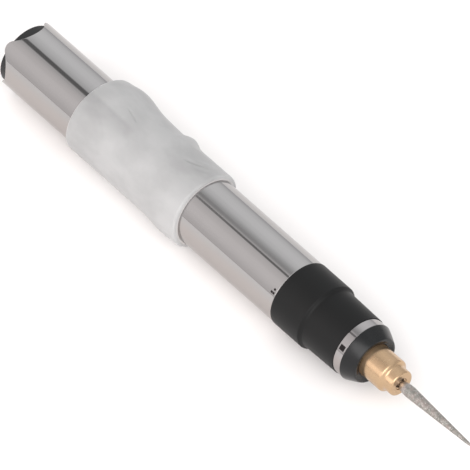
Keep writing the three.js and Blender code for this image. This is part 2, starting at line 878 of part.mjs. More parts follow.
// The laminated rotor: each pole is a neck with a curved shoe.
function rotorCore() {
  const shape = new THREE.Shape();
  const shoeInner = rotorRadius - poleShoeThickness;
  const reach = radians(poleShoeHalfAngle);
  const halfNeck = poleNeckWidth / 2;
  const neckFoot = Math.asin(halfNeck / rotorHub);
  const neckTop = Math.asin(halfNeck / shoeInner);
  for (let pole = 0; pole < poleCount; pole += 1) {
    const middle = Math.PI / 2 + (2 * Math.PI * pole) / poleCount;
    const gapMiddle = middle - Math.PI / poleCount;
    shape.absarc(0, 0, rotorHub, gapMiddle, middle - neckFoot, false);
    shape.absarc(0, 0, shoeInner, middle - neckTop, middle - reach, true);
    shape.absarc(0, 0, rotorRadius, middle - reach, middle + reach, false);
    shape.absarc(0, 0, shoeInner, middle + reach, middle + neckTop, true);
    shape.absarc(0, 0, rotorHub, middle + neckFoot, gapMiddle + (2 * Math.PI) / poleCount, false);
  }
  shape.holes.push(roundHole(shaftRadius + runGap));
  return piece('rotor_core', extruded(shape, rotorRear, rotorLength, roundSteps), 0x77797b, 0.5, 1);
}

// A rounded rectangle, centred, as an outline or as a hole.
function roundedRectangle(target, length, width, corner) {
  const [x, y] = [length / 2, width / 2];
  const round = Math.min(corner, y);
  target.absarc(x - round, y - round, round, 0, Math.PI / 2, false);
  target.absarc(-x + round, y - round, round, Math.PI / 2, Math.PI, false);
  target.absarc(-x + round, -y + round, round, Math.PI, 1.5 * Math.PI, false);
  target.absarc(x - round, -y + round, round, 1.5 * Math.PI, 2 * Math.PI, false);
  return target;
}

// A coil wound round the neck of one pole, kept under the pole's shoe.
function rotorCoil(name, angle) {
  const holeWidth = poleNeckWidth + 2 * coilGap;
  const outerWidth = holeWidth + 2 * coilWidth;
  const underShoe = rotorRadius - poleShoeThickness - coilGap;
  const top = Math.sqrt(underShoe ** 2 - (outerWidth / 2) ** 2);
  const base = rotorHub + coilGap;
  const shape = roundedRectangle(new THREE.Shape(), rotorLength + 2 * coilReach, outerWidth, coilCorner);
  const hole = roundedRectangle(new THREE.Path(), rotorLength + 2 * coilGap, holeWidth, coilGap);
  shape.holes.push(hole);
  const coil = new THREE.ExtrudeGeometry(shape, {
    depth: top - base,
    bevelEnabled: false,
    curveSegments: roundSteps,
  });
  coil.translate((rotorRear + rotorFront) / 2, 0, base).rotateX(-radians(angle));
  return piece(name, coil, 0xb4642c, 0.35, 0.8);
}

// The commutator's insulating hub, up to the rotor's coils.
function commutatorHub() {
  const rear = rearBushFront + washerThickness + 2 * seatGap;
  const outline = [
    at(shaftRadius + runGap, rear),
    at(commutatorHubRadius, rear),
    at(commutatorHubRadius, commutatorFront),
    at(shaftRadius + runGap, commutatorFront),
  ];
  return piece('commutator_hub', turned(outline, smallSides), 0x8a3b24, 0.5, 0);
}

// One copper segment of the commutator.
function commutatorSegment(name, angle) {
  const inner = commutatorHubRadius + fitGap;
  const arc = sector(inner, commutatorRadius, segmentHalfAngle, commutatorRear, commutatorLength, angle);
  return piece(name, arc, 0xc47a45, 0.3, 1);
}

// A thrust washer on the motor shaft.
function thrustWasher(name, rear) {
  const outline = [
    at(shaftRadius + runGap, rear),
    at(washerRadius, rear),
    at(washerRadius, rear + washerThickness),
    at(shaftRadius + runGap, rear + washerThickness),
  ];
  return piece(name, turned(outline, smallSides), 0xe8e4da, 0.5, 0);
}

// The chuck's body: hub on the shaft, flange, threaded front, and the cone that closes the collet.
function chuckBody() {
  const flangeFront = nutRear - chuckFlangeGap;
  const flangeRear = flangeFront - chuckFlange;
  const outline = [
    at(shaftRadius + runGap, chuckRear),
    at(chuckHubRadius, chuckRear, chuckEase),
    at(chuckHubRadius, flangeRear),
    at(chuckFlangeRadius, flangeRear, chuckEase),
    at(chuckFlangeRadius, flangeFront, chuckEase),
    at(threadRadius, flangeFront),
    at(threadRadius, bellyRear),
    at(colletBellyRadius + fitGap, bellyRear),
    at(colletRingRadius + fitGap, colletConeRear),
    at(colletRingRadius + fitGap, colletRear - burrEndGap),
    at(burrShankRadius + fitGap, colletRear - burrEndGap),
    at(burrShankRadius + fitGap, shankPocketRear),
    at(shaftRadius + runGap, shankPocketRear),
  ];
  return piece('chuck_body', turned(outline, mediumSides), 0xcda96c, 0.3, 1);
}

// The collet: a ring at the rear, three sprung jaws, and a cone at each end of its belly.
function collet() {
  const bore = burrShankRadius + seatGap;
  const blank = turned(
    [
      at(bore, colletRear),
      at(colletRingRadius, colletRear),
      at(colletRingRadius, colletConeRear),
      at(colletBellyRadius, bellyRear),
      at(colletBellyRadius, bellyFront),
      at(colletNoseRadius, colletNoseRear),
      at(colletNoseRadius, colletFront),
      at(bore, colletFront),
    ],
    smallSides,
  );
  const slotStart = colletRear + colletRingLength / 2;
  const slotLength = colletFront + cutOverrun - slotStart;
  const slotDepth = colletBellyRadius + cutOverrun;
  const slots = Array.from({ length: colletSlots }, (_, place) => {
    const slot = new THREE.BoxGeometry(slotLength, colletSlotWidth, slotDepth);
    slot.translate(slotStart + slotLength / 2, 0, slotDepth / 2);
    return slot.rotateX(-radians(colletTurn + (360 * place) / colletSlots));
  });
  return piece('collet', cut(blank, slots), 0xd2ad70, 0.3, 1);
}

// The chuck nut: threaded at the rear, with the cone that presses on the collet and a stepped outside.
function chuckNut() {
  const slopeFront = nutFront - nutTipLength;
  const shoulder = bellyRear + nutShoulderGap;
  const outline = [
    at(threadRadius + fitGap, nutRear),
    at(nutRadius, nutRear, nutEase),
    at(nutRadius, slopeFront - nutSlope, nutEase),
    at(nutTipRadius, slopeFront, nutEase),
    at(nutTipRadius, nutFront, nutEase),
    at(colletNoseRadius + fitGap, nutFront, nutMouthEase),
    at(colletNoseRadius + fitGap, colletNoseRear),
    at(colletBellyRadius + fitGap, bellyFront),
    at(colletBellyRadius + fitGap, shoulder),
    at(threadRadius + fitGap, shoulder),
  ];
  return piece('chuck_nut', turned(outline, mediumSides), 0xd9b27a, 0.25, 1);
}

// The diamond burr: a straight shank and a long tapering head.
function burr() {
  const headRear = nutFront + burrNeckLength;
  const outline = [
    at(0, burrRear),
    at(burrShankRadius, burrRear, burrEase),
    at(burrShankRadius, headRear),
    at(burrHeadRadius, headRear + burrHeadRise, burrHeadRise / 2),
    at(burrTipRadius, burrTip - burrTipLength, burrTipLength),
    at(0, burrTip),
  ];
  return piece('burr', turned(outline, smallSides), 0x9a988e, 0.6, 0.7);
}

// A group of pieces.
function group(...pieces) {
  return new THREE.Group().add(...pieces);
}

const inlet = group(socketBody(), socketNut(), socketPin(), socketContact());
const barrel = group(bodyTube(), gripSleeve(), endPlug(), motorWrap());
const nose = group(noseShell(), noseRing(), noseBezel());
const stator = group(
  motorCan(),
  motorEndBell(),
  bush('front_bush', frontBushRear),
  bush('rear_bush', rearBushFront - bushLength),
  magnet('magnet_upper', 0),
  magnet('magnet_lower', 180),
  brush('brush_left', 1),
  brush('brush_right', -1),
  brushArm('brush_arm_left', 1),
  brushArm('brush_arm_right', -1),
  suppressorCapacitor(),
  motorScrew('motor_screw_upper', 0),
  motorScrew('motor_screw_lower', 180),
);
const contactLeadZ = inletBore + contactThickness / 2 + slotGap + leadRadius;
const wiring = group(
  lead('lead_red', 1, tailWireRadius + slotGap + leadRadius, 0, 0xb3231e),
  lead('lead_black', -1, 0, contactLeadZ, 0x1c1c1e),
);
const spindle = group(
  motorShaft(),
  rotorCore(),
  commutatorHub(),
  thrustWasher('thrust_washer_front', frontBushRear - seatGap - washerThickness),
  thrustWasher('thrust_washer_rear', rearBushFront + seatGap),
  chuckBody(),
);
for (let pole = 0; pole < poleCount; pole += 1) {
  const angle = (360 * pole) / poleCount;
  spindle.add(rotorCoil(`rotor_coil_${pole + 1}`, angle));
  spindle.add(commutatorSegment(`commutator_segment_${pole + 1}`, angle + 180 / poleCount));
}
const chuck = group(collet(), chuckNut(), burr());

// The pen lies along X with the middle of its length over the origin and its lowest point at height zero.
const pen = group(barrel, inlet, wiring, nose, stator, spindle, chuck);
const extent = new THREE.Box3().setFromObject(pen);
pen.position.set(-(extent.min.x + extent.max.x) / 2, 0, -extent.min.z);

const engravingPen = group(pen);
export default engravingPen;
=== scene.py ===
"""The looks of an electric engraving pen, laid out as an add-on and run as a script.

Each operator builds one piece, or one group of like pieces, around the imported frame. Lengths are metres.
A station is a distance along the pen's axis from the end face of the tail plug, towards the burr's tip.
An angle round the pen runs from straight up towards +Y.
"""

import math
from collections import namedtuple
from functools import cached_property

import bmesh
import bpy
from mathutils import Matrix, Vector, noise


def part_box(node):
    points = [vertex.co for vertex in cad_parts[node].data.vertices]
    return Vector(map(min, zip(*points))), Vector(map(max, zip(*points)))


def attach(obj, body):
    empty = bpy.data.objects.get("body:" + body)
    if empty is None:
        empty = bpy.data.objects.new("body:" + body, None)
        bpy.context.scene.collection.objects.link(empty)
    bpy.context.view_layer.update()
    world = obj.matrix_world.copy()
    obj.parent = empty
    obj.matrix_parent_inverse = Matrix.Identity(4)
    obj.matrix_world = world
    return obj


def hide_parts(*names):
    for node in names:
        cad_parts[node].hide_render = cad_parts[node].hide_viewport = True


bl_info = {
    "name": "Engraving pen",
    "version": (1, 0, 0),
    "blender": (4, 5, 0),
    "location": "3D View > Sidebar > Engraving Pen",
    "description": "Builds the pen's visible pieces, their finishes and a plain studio",
    "category": "Object",
}

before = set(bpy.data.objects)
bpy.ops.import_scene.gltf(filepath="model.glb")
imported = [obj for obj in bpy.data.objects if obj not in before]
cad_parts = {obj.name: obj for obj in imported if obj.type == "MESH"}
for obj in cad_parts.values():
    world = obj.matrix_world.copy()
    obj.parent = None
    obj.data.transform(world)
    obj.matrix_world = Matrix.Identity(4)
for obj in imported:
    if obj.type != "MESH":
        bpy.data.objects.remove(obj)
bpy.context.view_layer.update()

# Places that the frame gives
PEN_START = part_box("end_plug")[0].x
AXIS_HEIGHT = (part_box("motor_shaft")[0].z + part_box("motor_shaft")[1].z) / 2

FULL_TURN = 2 * math.pi


def span(node):
    """The first and last station of a node."""
    low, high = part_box(node)
    return low.x - PEN_START, high.x - PEN_START


def radius_of(node):
    """A turned node's largest radius."""
    low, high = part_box(node)
    return (high.y - low.y) / 2


# Properties, with one short maker for each kind of value


def length(name, description, default):
    """A length that a user can change."""
    return bpy.props.FloatProperty(
        name=name, description=description, default=default, unit="LENGTH", subtype="DISTANCE", precision=5
    )


def turn(name, description, degrees):
    """An angle that a user can change, its default in degrees."""
    return bpy.props.FloatProperty(
        name=name, description=description, default=math.radians(degrees), unit="ROTATION", subtype="ANGLE"
    )


def colour(name, description, default):
    """A colour that a user can change."""
    return bpy.props.FloatVectorProperty(
        name=name, description=description, default=default, size=3, min=0, max=1, subtype="COLOR"
    )


def number(name, description, default, subtype="NONE"):
    """A plain number that a user can change."""
    return bpy.props.FloatProperty(name=name, description=description, default=default, subtype=subtype)


def group(name, description, kind):
    """A group of settings inside another."""
    return bpy.props.PointerProperty(name=name, description=description, type=kind)


class TubeSizes(bpy.types.PropertyGroup):
    """Sizes of the chromed body tube."""

    radius: length("Radius", "Outside radius of the tube", radius_of("body_tube"))
    wall: length("Wall", "Thickness of the tube's wall", 0.00065)
    lobe_turn: turn("Lobe turn", "Angle of the first lobe of the tail end", 50.6)
    scallop_depth: length("Scallop depth", "How far a scallop lies in from the lobes", 0.00313)
    lobe_tip_radius: length("Lobe tip radius", "Rounding of a lobe's tip", 0.0024)
    edge_ease: length("Edge ease", "Rounding of the tail end's edges", 0.00014)
    front_ease: length("Front ease", "Rounding of the front end's edges", 0.00004)
    tail_reach: length("Tail reach", "How far the worn tail end and its plug stand out", 0.0005)


class SleeveSizes(bpy.types.PropertyGroup):
    """Sizes of the silicone grip sleeve."""

    wall: length("Wall", "Thickness of the sleeve away from its swellings", 0.00115)
    lip: length("Lip", "Rounding of the sleeve's two ends", 0.0008)
    edge: length("Edge", "Thickness that is left at the very ends", 0.00012)
    skew: length("Skew", "How much further the front end reaches on one side", 0.0007)
    skew_side: turn("Skew side", "Side on which the front end reaches furthest", -119.4)
    skew_spread: turn("Skew spread", "How far round that reach fades out", 50)
    fit_gap: length("Fit gap", "Room between the sleeve and the tube", 0.00003)
    ripple: length("Ripple", "Height of the soft unevenness of its surface", 0.00016)


class PlugSizes(bpy.types.PropertyGroup):
    """Sizes of the tail plug and of the inlet in it."""

    edge_ease: length("Edge ease", "Rounding of the plug's rim", 0.0004)
    floor: length("Floor", "Thickness of the plug's end face", 0.0022)
    flange_radius: length("Flange radius", "Radius of the inlet's flange", 0.005)
    flange: length("Flange", "Thickness of the inlet's flange", 0.00115)
    inlet_bore: length("Inlet bore", "Radius of the inlet's bore", 0.00315)
    inlet_barrel: length("Inlet barrel", "Radius of the inlet's barrel", 0.00395)
    inlet_depth: length("Inlet depth", "Depth of the inlet's bore", 0.0099)
    pin_radius: length("Pin radius", "Radius of the inlet's centre pin", 0.001)
    pin_tail_radius: length("Pin tail radius", "Radius of the pin's tail", 0.0006)


class NoseSizes(bpy.types.PropertyGroup):
    """Sizes of the nose shell, its ring and its bezel."""

    spigot_length: length("Spigot length", "How deep the nose sits in the tube", 0.006)
    shoulder: length("Shoulder", "Length of the nose at its full radius", 0.0099)
    step: length("Step", "Length of the slope behind the waist", 0.0006)
    waist_radius: length("Waist radius", "Radius just in front of the step", 0.008375)
    tip_radius: length("Tip radius", "Radius at the shell's front end", 0.00815)
    bore: length("Bore", "Radius of the shell's bore", 0.0069)
    bulkhead: length("Bulkhead", "Thickness of the wall that carries the motor", 0.002)
    bulkhead_inset: length("Bulkhead inset", "How far in front of the tube that wall lies", 0.00545)
    boss_hole: length("Boss hole", "Radius of the hole for the motor's boss", 0.0028)
    screw_hole: length("Screw hole", "Radius of the hole for a motor screw", 0.0011)
    ring_radius: length("Ring radius", "Radius of the bright ring", 0.00798)
    bezel_radius: length("Bezel radius", "Radius of the bezel at the ring", 0.00805)
    bezel_rim_radius: length("Bezel rim radius", "Radius of the bezel's front rim", 0.00635)
    bezel_mouth: length("Bezel mouth", "Radius of the mouth for the chuck", 0.00466)
    bezel_reach: length("Bezel reach", "How far the bezel stands in front of the ring", 0.00365)


class ChuckSizes(bpy.types.PropertyGroup):
    """Sizes of the chuck's nut and collet."""

    nut_radius: length("Nut radius", "Radius of the chuck nut", 0.0045)
    nut_tip_radius: length("Nut tip radius", "Radius of the nut's front step", 0.0035)
    nut_tip_length: length("Nut tip length", "Length of the nut's front step", 0.0026)
    tip_reach: length("Tip reach", "How far the nut and collet stand out at their fronts", 0.00025)
    thread_radius: length("Thread radius", "Radius of the nut's thread", 0.0034)
    ring_radius: length("Ring radius", "Radius of the collet's rear ring", 0.0018)
    nose_radius: length("Nose radius", "Radius of the collet's front end", 0.0016)
    nose_length: length("Nose length", "Length of the collet's front end", 0.0037)
    front_cone: length("Front cone", "Length of the collet's front cone", 0.0026)
    belly_radius: length("Belly radius", "Largest radius of the collet", 0.0026)
    belly_length: length("Belly length", "Length of the collet between its cones", 0.0013)
    rear_cone: length("Rear cone", "Length of the collet's rear cone", 0.0053)
    slot: length("Slot", "Width of a slot of the collet", 0.00054)
    slot_turn: turn("Slot turn", "Angle of the collet's first slot", 30.6)


class BurrSizes(bpy.types.PropertyGroup):
    """Sizes of the diamond burr."""

    shank_radius: length("Shank radius", "Radius of the steel shank", 0.001175)
    head_radius: length("Head radius", "Largest radius of the coated head", 0.00153)
    end_radius: length("End radius", "Radius of the head where its rounded tip begins", 0.000425)
    end_length: length("End length", "Length of the rounded tip", 0.0017)
    rise: length("Rise", "Length over which the head reaches its largest radius", 0.0032)
    neck: length("Neck", "How much of the bare shank shows in front of the nut", 0.0004)
    grit: length("Grit", "How far the diamond grains stand out", 0.00003)
    grain: length("Grain", "Size of one diamond grain", 0.00016)


class FinishColours(bpy.types.PropertyGroup):
    """Colours of the pen's visible finishes."""

    chrome: colour("Chrome", "The polished tube", (0.392, 0.385, 0.383))
    ring: colour("Ring", "The bright nose ring", (0.367, 0.354, 0.354))
    silicone: colour("Silicone", "The milky grip sleeve", (0.406, 0.409, 0.409))
    nose: colour("Nose", "The nose shell's black plastic", (0.0058, 0.0062, 0.0063))
    bezel: colour("Bezel", "The bezel's black plastic", (0.0036, 0.0043, 0.005))
    plug: colour("Plug", "The tail plug's black plastic", (0.014, 0.0145, 0.015))
    pin: colour("Pin", "The inlet pin's nickel", (0.62, 0.61, 0.58))
    brass: colour("Brass", "The chuck's turned brass", (0.515, 0.36, 0.222))
    burr: colour("Burr", "The burr's nickel and diamond coat", (0.26, 0.252, 0.23))
    mark: colour("Mark", "The printed index marks", (0.012, 0.010, 0.010))


class StudioSettings(bpy.types.PropertyGroup):
    """The camera and the lights."""

    azimuth: turn("Azimuth", "The camera's direction round the pen", 49.4)
    elevation: turn("Elevation", "The camera's height over the horizon", 49.1)
    distance: length("Distance", "From the camera to the pen", 3.5)
    lens: number("Lens", "Focal length in millimetres, for a 36 mm sensor", 1120.0)
    aim: length("Aim", "Station that the camera looks at", 0.0768)
    aim_side: length("Aim side", "How far the camera looks past the pen's axis", 0.00046)
    sky: number("Sky", "Brightness of the light tent", 1.2)
    front_sky: number("Front sky", "How much brighter the tent is past the pen's ends", 0.42, "FACTOR")
    lamp: number("Lamp", "Brightness of the soft lamp in the tent's side", 1.7)
    key: number("Key", "Power of the key light in watts", 28.8)
    floor: length("Floor", "Half the width of the pale floor", 6.0)


class PenSettings(bpy.types.PropertyGroup):
    """Everything about the pen that a user can change."""

    tube: group("Tube", "The body tube", TubeSizes)
    sleeve: group("Sleeve", "The grip sleeve", SleeveSizes)
    plug: group("Plug", "The tail plug and inlet", PlugSizes)
    nose: group("Nose", "The nose's three pieces", NoseSizes)
    chuck: group("Chuck", "The nut and collet", ChuckSizes)
    burr: group("Burr", "The diamond burr", BurrSizes)
    colours: group("Colours", "The finishes", FinishColours)
    studio: group("Studio", "Camera and lights", StudioSettings)


# Meshes

TUBE_SIDES = 256
TURNED_SIDES = 192
NUT_SIDES = 144
SMALL_SIDES = 96
DRILL_SIDES = 48
ROUND_STEPS = 6
SHARP_ANGLE = math.radians(32)
LARGE_FACE_WEIGHT = 60

# Fits and roundings that several pieces share
SEAT_GAP = 0.00005
FIT_GAP = 0.0001
FINE_EASE = 0.0001
SMALL_EASE = 0.0002

Corner = namedtuple("Corner", "radius station ease", defaults=(0.0,))


def rounded(corners):
    """An outline's points, with each corner rounded off by its own ease."""
    points = []
    for place, corner in enumerate(corners):
        here = Vector((corner.radius, corner.station))
        if not corner.ease:
            points.append(here)
            continue
        ends = []
        for other in (corners[place - 1], corners[(place + 1) % len(corners)]):
            run = Vector((other.radius, other.station)) - here
            ends.append(here + run.normalized() * min(corner.ease, run.length / 2))
        for step in range(ROUND_STEPS + 1):
            way = step / ROUND_STEPS
            points.append(ends[0] * (1 - way) ** 2 + here * 2 * way * (1 - way) + ends[1] * way**2)
    return points


def pen_point(radius, station, angle):
    """A point of the pen, from its distance off the axis, its station and its angle."""
    return (
        PEN_START + station,
        radius * math.sin(angle),
        AXIS_HEIGHT + radius * math.cos(angle),
    )


def made(name, points, faces):
    """A smoothly shaded object from points and faces."""
    mesh = bpy.data.meshes.new(name)
    mesh.from_pydata(points, [], faces)
    mesh.validate()
    for face in mesh.polygons:
        face.use_smooth = True
    piece = bpy.data.objects.new(name, mesh)
    bpy.context.scene.collection.objects.link(piece)
    return piece


def outward(piece):
    """Turns a piece's faces outwards."""
    shell = bmesh.new()
    shell.from_mesh(piece.data)
    bmesh.ops.recalc_face_normals(shell, faces=shell.faces)
    shell.to_mesh(piece.data)
    shell.free()
    return piece


def crisp(piece):
    """Marks a piece's sharp edges and lets its large faces set the shading."""
    piece.data.set_sharp_from_angle(angle=SHARP_ANGLE)
    shading = piece.modifiers.new("Shading", "WEIGHTED_NORMAL")
    shading.keep_sharp = True
    shading.weight = LARGE_FACE_WEIGHT
    return piece


def lofted(name, sides, rows, place):
    """A closed wall round the axis. place(row, angle) gives a radius and a station."""
    points = []
    faces = []
    for side in range(sides):
        angle = FULL_TURN * side / sides
        here = side * rows
        beside = (side + 1) % sides * rows
        for row in range(rows):
            radius, station = place(row, angle)
            points.append(pen_point(radius, station, angle))
            after = (row + 1) % rows
            faces.append((here + row, beside + row, beside + after, here + after))
    return outward(made(name, points, faces))


def turned(name, corners, sides=TURNED_SIDES):
    """A ring turned round the axis from an outline that never meets it."""
    outline = rounded(corners)
    return lofted(name, sides, len(outline), lambda row, angle: outline[row])


def spun(name, outline, sides, lift=None):
    """A solid turned round the axis from an outline that starts and ends on it.

    lift(place, angle) adds to the radius of one of the outline's points.
    """
    first, last = outline[0], outline[-1]
    points = [pen_point(0, first[1], 0)]
    rings = outline[1:-1]
    for place, (radius, station) in enumerate(rings):
        for side in range(sides):
            angle = FULL_TURN * side / sides
            extra = lift(place, angle) if lift else 0
            points.append(pen_point(radius + extra, station, angle))
    points.append(pen_point(0, last[1], 0))
    faces = []
    end = len(points) - 1
    last_ring = end - sides
    for side in range(sides):
        beside = (side + 1) % sides
        faces.append((0, 1 + beside, 1 + side))
        faces.append((end, last_ring + side, last_ring + beside))
        for ring in range(len(rings) - 1):
            low, high = 1 + ring * sides, 1 + (ring + 1) * sides
            faces.append((low + side, low + beside, high + beside, high + side))
    return outward(made(name, points, faces))


def prism(section, start, end, angle):
    """A straight cutting tool along the pen, from the sides and heights of its section's corners."""
    spin = Matrix.Rotation(-angle, 4, "X")
    points = []
    for station in (start, end):
        for side, height in section:
            y, z = (spin @ Vector((0, side, height))).yz
            points.append((PEN_START + station, y, AXIS_HEIGHT + z))
    corners = len(section)
    faces = [tuple(range(corners)), tuple(range(corners, 2 * corners))]
    for here in range(corners):
        beside = (here + 1) % corners
        faces.append((here, beside, corners + beside, corners + here))
    return outward(made("cutting_tool", points, faces))


def block(start, end, width, low, high, angle):
    """A cutting block between two stations, from one height over the axis to another."""
    half = width / 2
    return prism([(-half, low), (half, low), (half, high), (-half, high)], start, end, angle)


def drill(radius, start, end, height, angle):
    """A round cutting tool, off the pen's axis by the given height at the given angle."""
    turns = [FULL_TURN * side / DRILL_SIDES for side in range(DRILL_SIDES)]
    section = [(radius * math.sin(way), height + radius * math.cos(way)) for way in turns]
    return prism(section, start, end, angle)


def cut(piece, tools):
    """Cuts tools out of a piece for good, and removes them."""
    for tool in tools:
        step = piece.modifiers.new("Cut", "BOOLEAN")
        step.operation = "DIFFERENCE"
        step.solver = "EXACT"
        step.object = tool
    bpy.context.view_layer.update()
    whole = piece.evaluated_get(bpy.context.evaluated_depsgraph_get())
    done = bpy.data.meshes.new_from_object(whole)
    piece.modifiers.clear()
    old = piece.data
    piece.data = done
    done.name = piece.name
    bpy.data.meshes.remove(old)
    for tool in tools:
        mesh = tool.data
        bpy.data.objects.remove(tool)
        bpy.data.meshes.remove(mesh)
    return piece


def placed(piece, finish, body, slot, *nodes):
    """Gives a finished piece its material and its body, and hides the nodes that it stands for; its slot is
    not used.
    """
    piece.data.materials.clear()
    piece.data.materials.append(finish.material)
    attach(piece, body)
    if nodes:
        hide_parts(*nodes)


# Finishes

ALONG_PEN = (1.0, 0.0, 0.0)
FALLING = (1.0, 0.0)

# A ramp runs smoothly from start to end as a value goes from low to high
Ramp = namedtuple("Ramp", "low high start end", defaults=(0.0, 1.0))

# A slot of angles in degrees: its middle, half its width and its soft edge
Slot = namedtuple("Slot", "middle half_width edge")


class Value:
    """An output of a finish's node, on which sums are written as Python expressions."""

    def __init__(self, finish, socket):
        self.finish = finish
        self.socket = socket

    def __add__(self, other):
        return self.finish.maths("ADD", self, other)

    def __sub__(self, other):
        return self.finish.maths("SUBTRACT", self, other)

    def __rsub__(self, other):
        return self.finish.maths("SUBTRACT", other, self)

    def __mul__(self, other):
        return self.finish.maths("MULTIPLY", self, other)

    def __pow__(self, other):
        return self.finish.maths("POWER", self, other)

    def __gt__(self, other):
        return self.finish.maths("GREATER_THAN", self, other)

    def __abs__(self):
        return self.finish.maths("ABSOLUTE", self)

    __radd__ = __add__
    __rmul__ = __mul__

    def ripple(self, pitch):
        """Runs from 0 to 1 and back once in each pitch."""
        return self.finish.maths("SINE", self * (FULL_TURN / pitch)) * 0.5 + 0.5

    def between(self, low, high, start=0.0, end=1.0):
        """Runs smoothly from start to end as the value goes from low to high."""
        settings = {"interpolation_type": "SMOOTHSTEP"}
        inputs = {"Value": self, "From Min": low, "From Max": high, "To Min": start, "To Max": end}
        return self.finish.add("ShaderNodeMapRange", settings, inputs)

    def turning(self, low, high, start=0.0, end=1.0):
        """The same for an angle, with its limits in degrees."""
        return self.between(math.radians(low), math.radians(high), start, end)

    def within(self, slot):
        """1 inside a slot of angles and 0 outside it."""
        away = abs(self - math.radians(slot.middle))
        return away.turning(slot.half_width - slot.edge, slot.half_width + slot.edge, *FALLING)


class Finish:
    """A named material, with the nodes that make what varies over its surface."""

    def __init__(self, name, settings, material=None):
        self.material = material or bpy.data.materials.new(name)
        self.material.use_nodes = True
        self.tree = self.material.node_tree
        self.shader = self.tree.nodes.get("Principled BSDF")
        for socket, value in settings.items():
            self.shader.inputs[socket].default_value = value

    def add(self, kind, settings=None, inputs=None, output=0):
        """Adds a node, makes its settings, fills its inputs with values or links, and gives an output."""
        node = self.tree.nodes.new(kind)
        for setting, value in (settings or {}).items():
            setattr(node, setting, value)
        for socket, value in (inputs or {}).items():
            if isinstance(value, Value):
                self.tree.links.new(value.socket, node.inputs[socket])
            else:
                node.inputs[socket].default_value = value
        return Value(self, node.outputs[output])

    def maths(self, operation, *terms):
        """A Math node on the given terms."""
        return self.add("ShaderNodeMath", {"operation": operation}, dict(enumerate(terms)))

    @cached_property
    def place(self):
        """Where a point is in the pen's frame."""
        return self.add("ShaderNodeTexCoord", output="Object")

    def along(self, direction):
        """How far a point lies in a direction."""
        settings = {"operation": "DOT_PRODUCT"}
        return self.add("ShaderNodeVectorMath", settings, {0: self.place, 1: direction}, "Value")

    def off_axis(self):
        """How far a point lies from the pen's axis towards +Y, and how far upwards."""
        side, up = (self.add("ShaderNodeSeparateXYZ", {}, {0: self.place}, axis) for axis in "YZ")
        return side, up - AXIS_HEIGHT

    def lean(self):
        """The angle of a point round the pen, from straight up towards +Y."""
        return self.maths("ARCTAN2", *self.off_axis())

    def from_axis(self):
        """How far a point lies from the pen's axis."""
        side, up = self.off_axis()
        return (side * side + up * up) ** 0.5

    def grain(self, size, detail=3.0, roughness=0.5, stretch=None):
        """Noise from 0 to 1 with features of about the given size, longer where stretch is under 1."""
        place = self.place
        if stretch:
            place = self.add("ShaderNodeVectorMath", {"operation": "MULTIPLY"}, {0: place, 1: stretch})
        inputs = {"Vector": place, "Scale": 1 / size, "Detail": detail, "Roughness": roughness}
        return self.add("ShaderNodeTexNoise", {"noise_dimensions": "3D"}, inputs)

    def cells(self, size, output="Distance"):
        """Crystal cells of about the given size."""
        return self.add("ShaderNodeTexVoronoi", {}, {"Vector": self.place, "Scale": 1 / size}, output)

    def mix(self, mask, first, second):
        """A colour between two, by a mask from 0 to 1."""
        opaque = [(*c, 1.0) if not isinstance(c, Value) else c for c in (first, second)]
        settings = {"data_type": "RGBA"}
        return self.add("ShaderNodeMix", settings, {0: mask, 6: opaque[0], 7: opaque[1]}, 2)

    def tones(self, mask, tint, dark, light=1.0):
        """A tint that goes from darker to lighter, by a mask from 0 to 1."""
        return self.mix(mask, tinted(tint, dark), tinted(tint, light))

    def feed(self, socket, value):
        """Feeds one of the shader's inputs."""
        self.tree.links.new(value.socket, self.shader.inputs[socket])

    def paint(self, value):
        """Gives the surface its colour."""
        self.feed("Base Color", value)

    def roughen(self, value):
        """Gives the surface its roughness."""
        self.feed("Roughness", value)

    def emboss(self, height, depth, strength=1.0):
        """Gives the surface a fine relief of the given depth."""
        inputs = {"Height": height, "Distance": depth, "Strength": strength}
        self.feed("Normal", self.add("ShaderNodeBump", {}, inputs, "Normal"))


def tinted(tint, factor):
    """A colour made lighter or darker."""
    return tuple(min(part * factor, 1.0) for part in tint)


def polished_metal(name, tint, roughness=0.05):
    """Bright plated metal: faint smudges, long streaks, and a painted warm reflection of the floor low on its
    near side.
    """
    smudge_size = 0.009
    streak_size = 0.0006
    wave_size = 0.0035
    wave_depth = 0.0000012
    smudge_share = 0.6
    floor_reflection_warmth = (1.045, 0.995, 0.97)
    finish = Finish(name, {"Metallic": 1.0, "IOR": 2.5, "Specular Tint": (0.86, 0.86, 0.86, 1.0)})
    smudge = finish.grain(smudge_size, detail=4.0, roughness=0.6)
    streak = finish.grain(streak_size, detail=2.0, stretch=(0.04, 1.0, 1.0))
    plain = finish.tones(smudge * smudge_share + streak * (1 - smudge_share), tint, dark=0.96, light=1.04)
    # Painted reflection: a warmer tint low on the near side stands in for the warm floor that the metal
    # mirrors there.
    warm = tuple(part * factor for part, factor in zip(tint, floor_reflection_warmth))
    painted_floor_reflection = finish.lean().turning(-78, -60, *FALLING)
    finish.paint(finish.mix(painted_floor_reflection, plain, warm))
    finish.roughen((0.6 + smudge * 0.5 + streak * 0.35) * roughness)
    finish.emboss(finish.grain(wave_size, detail=2.0), wave_depth)
    return finish


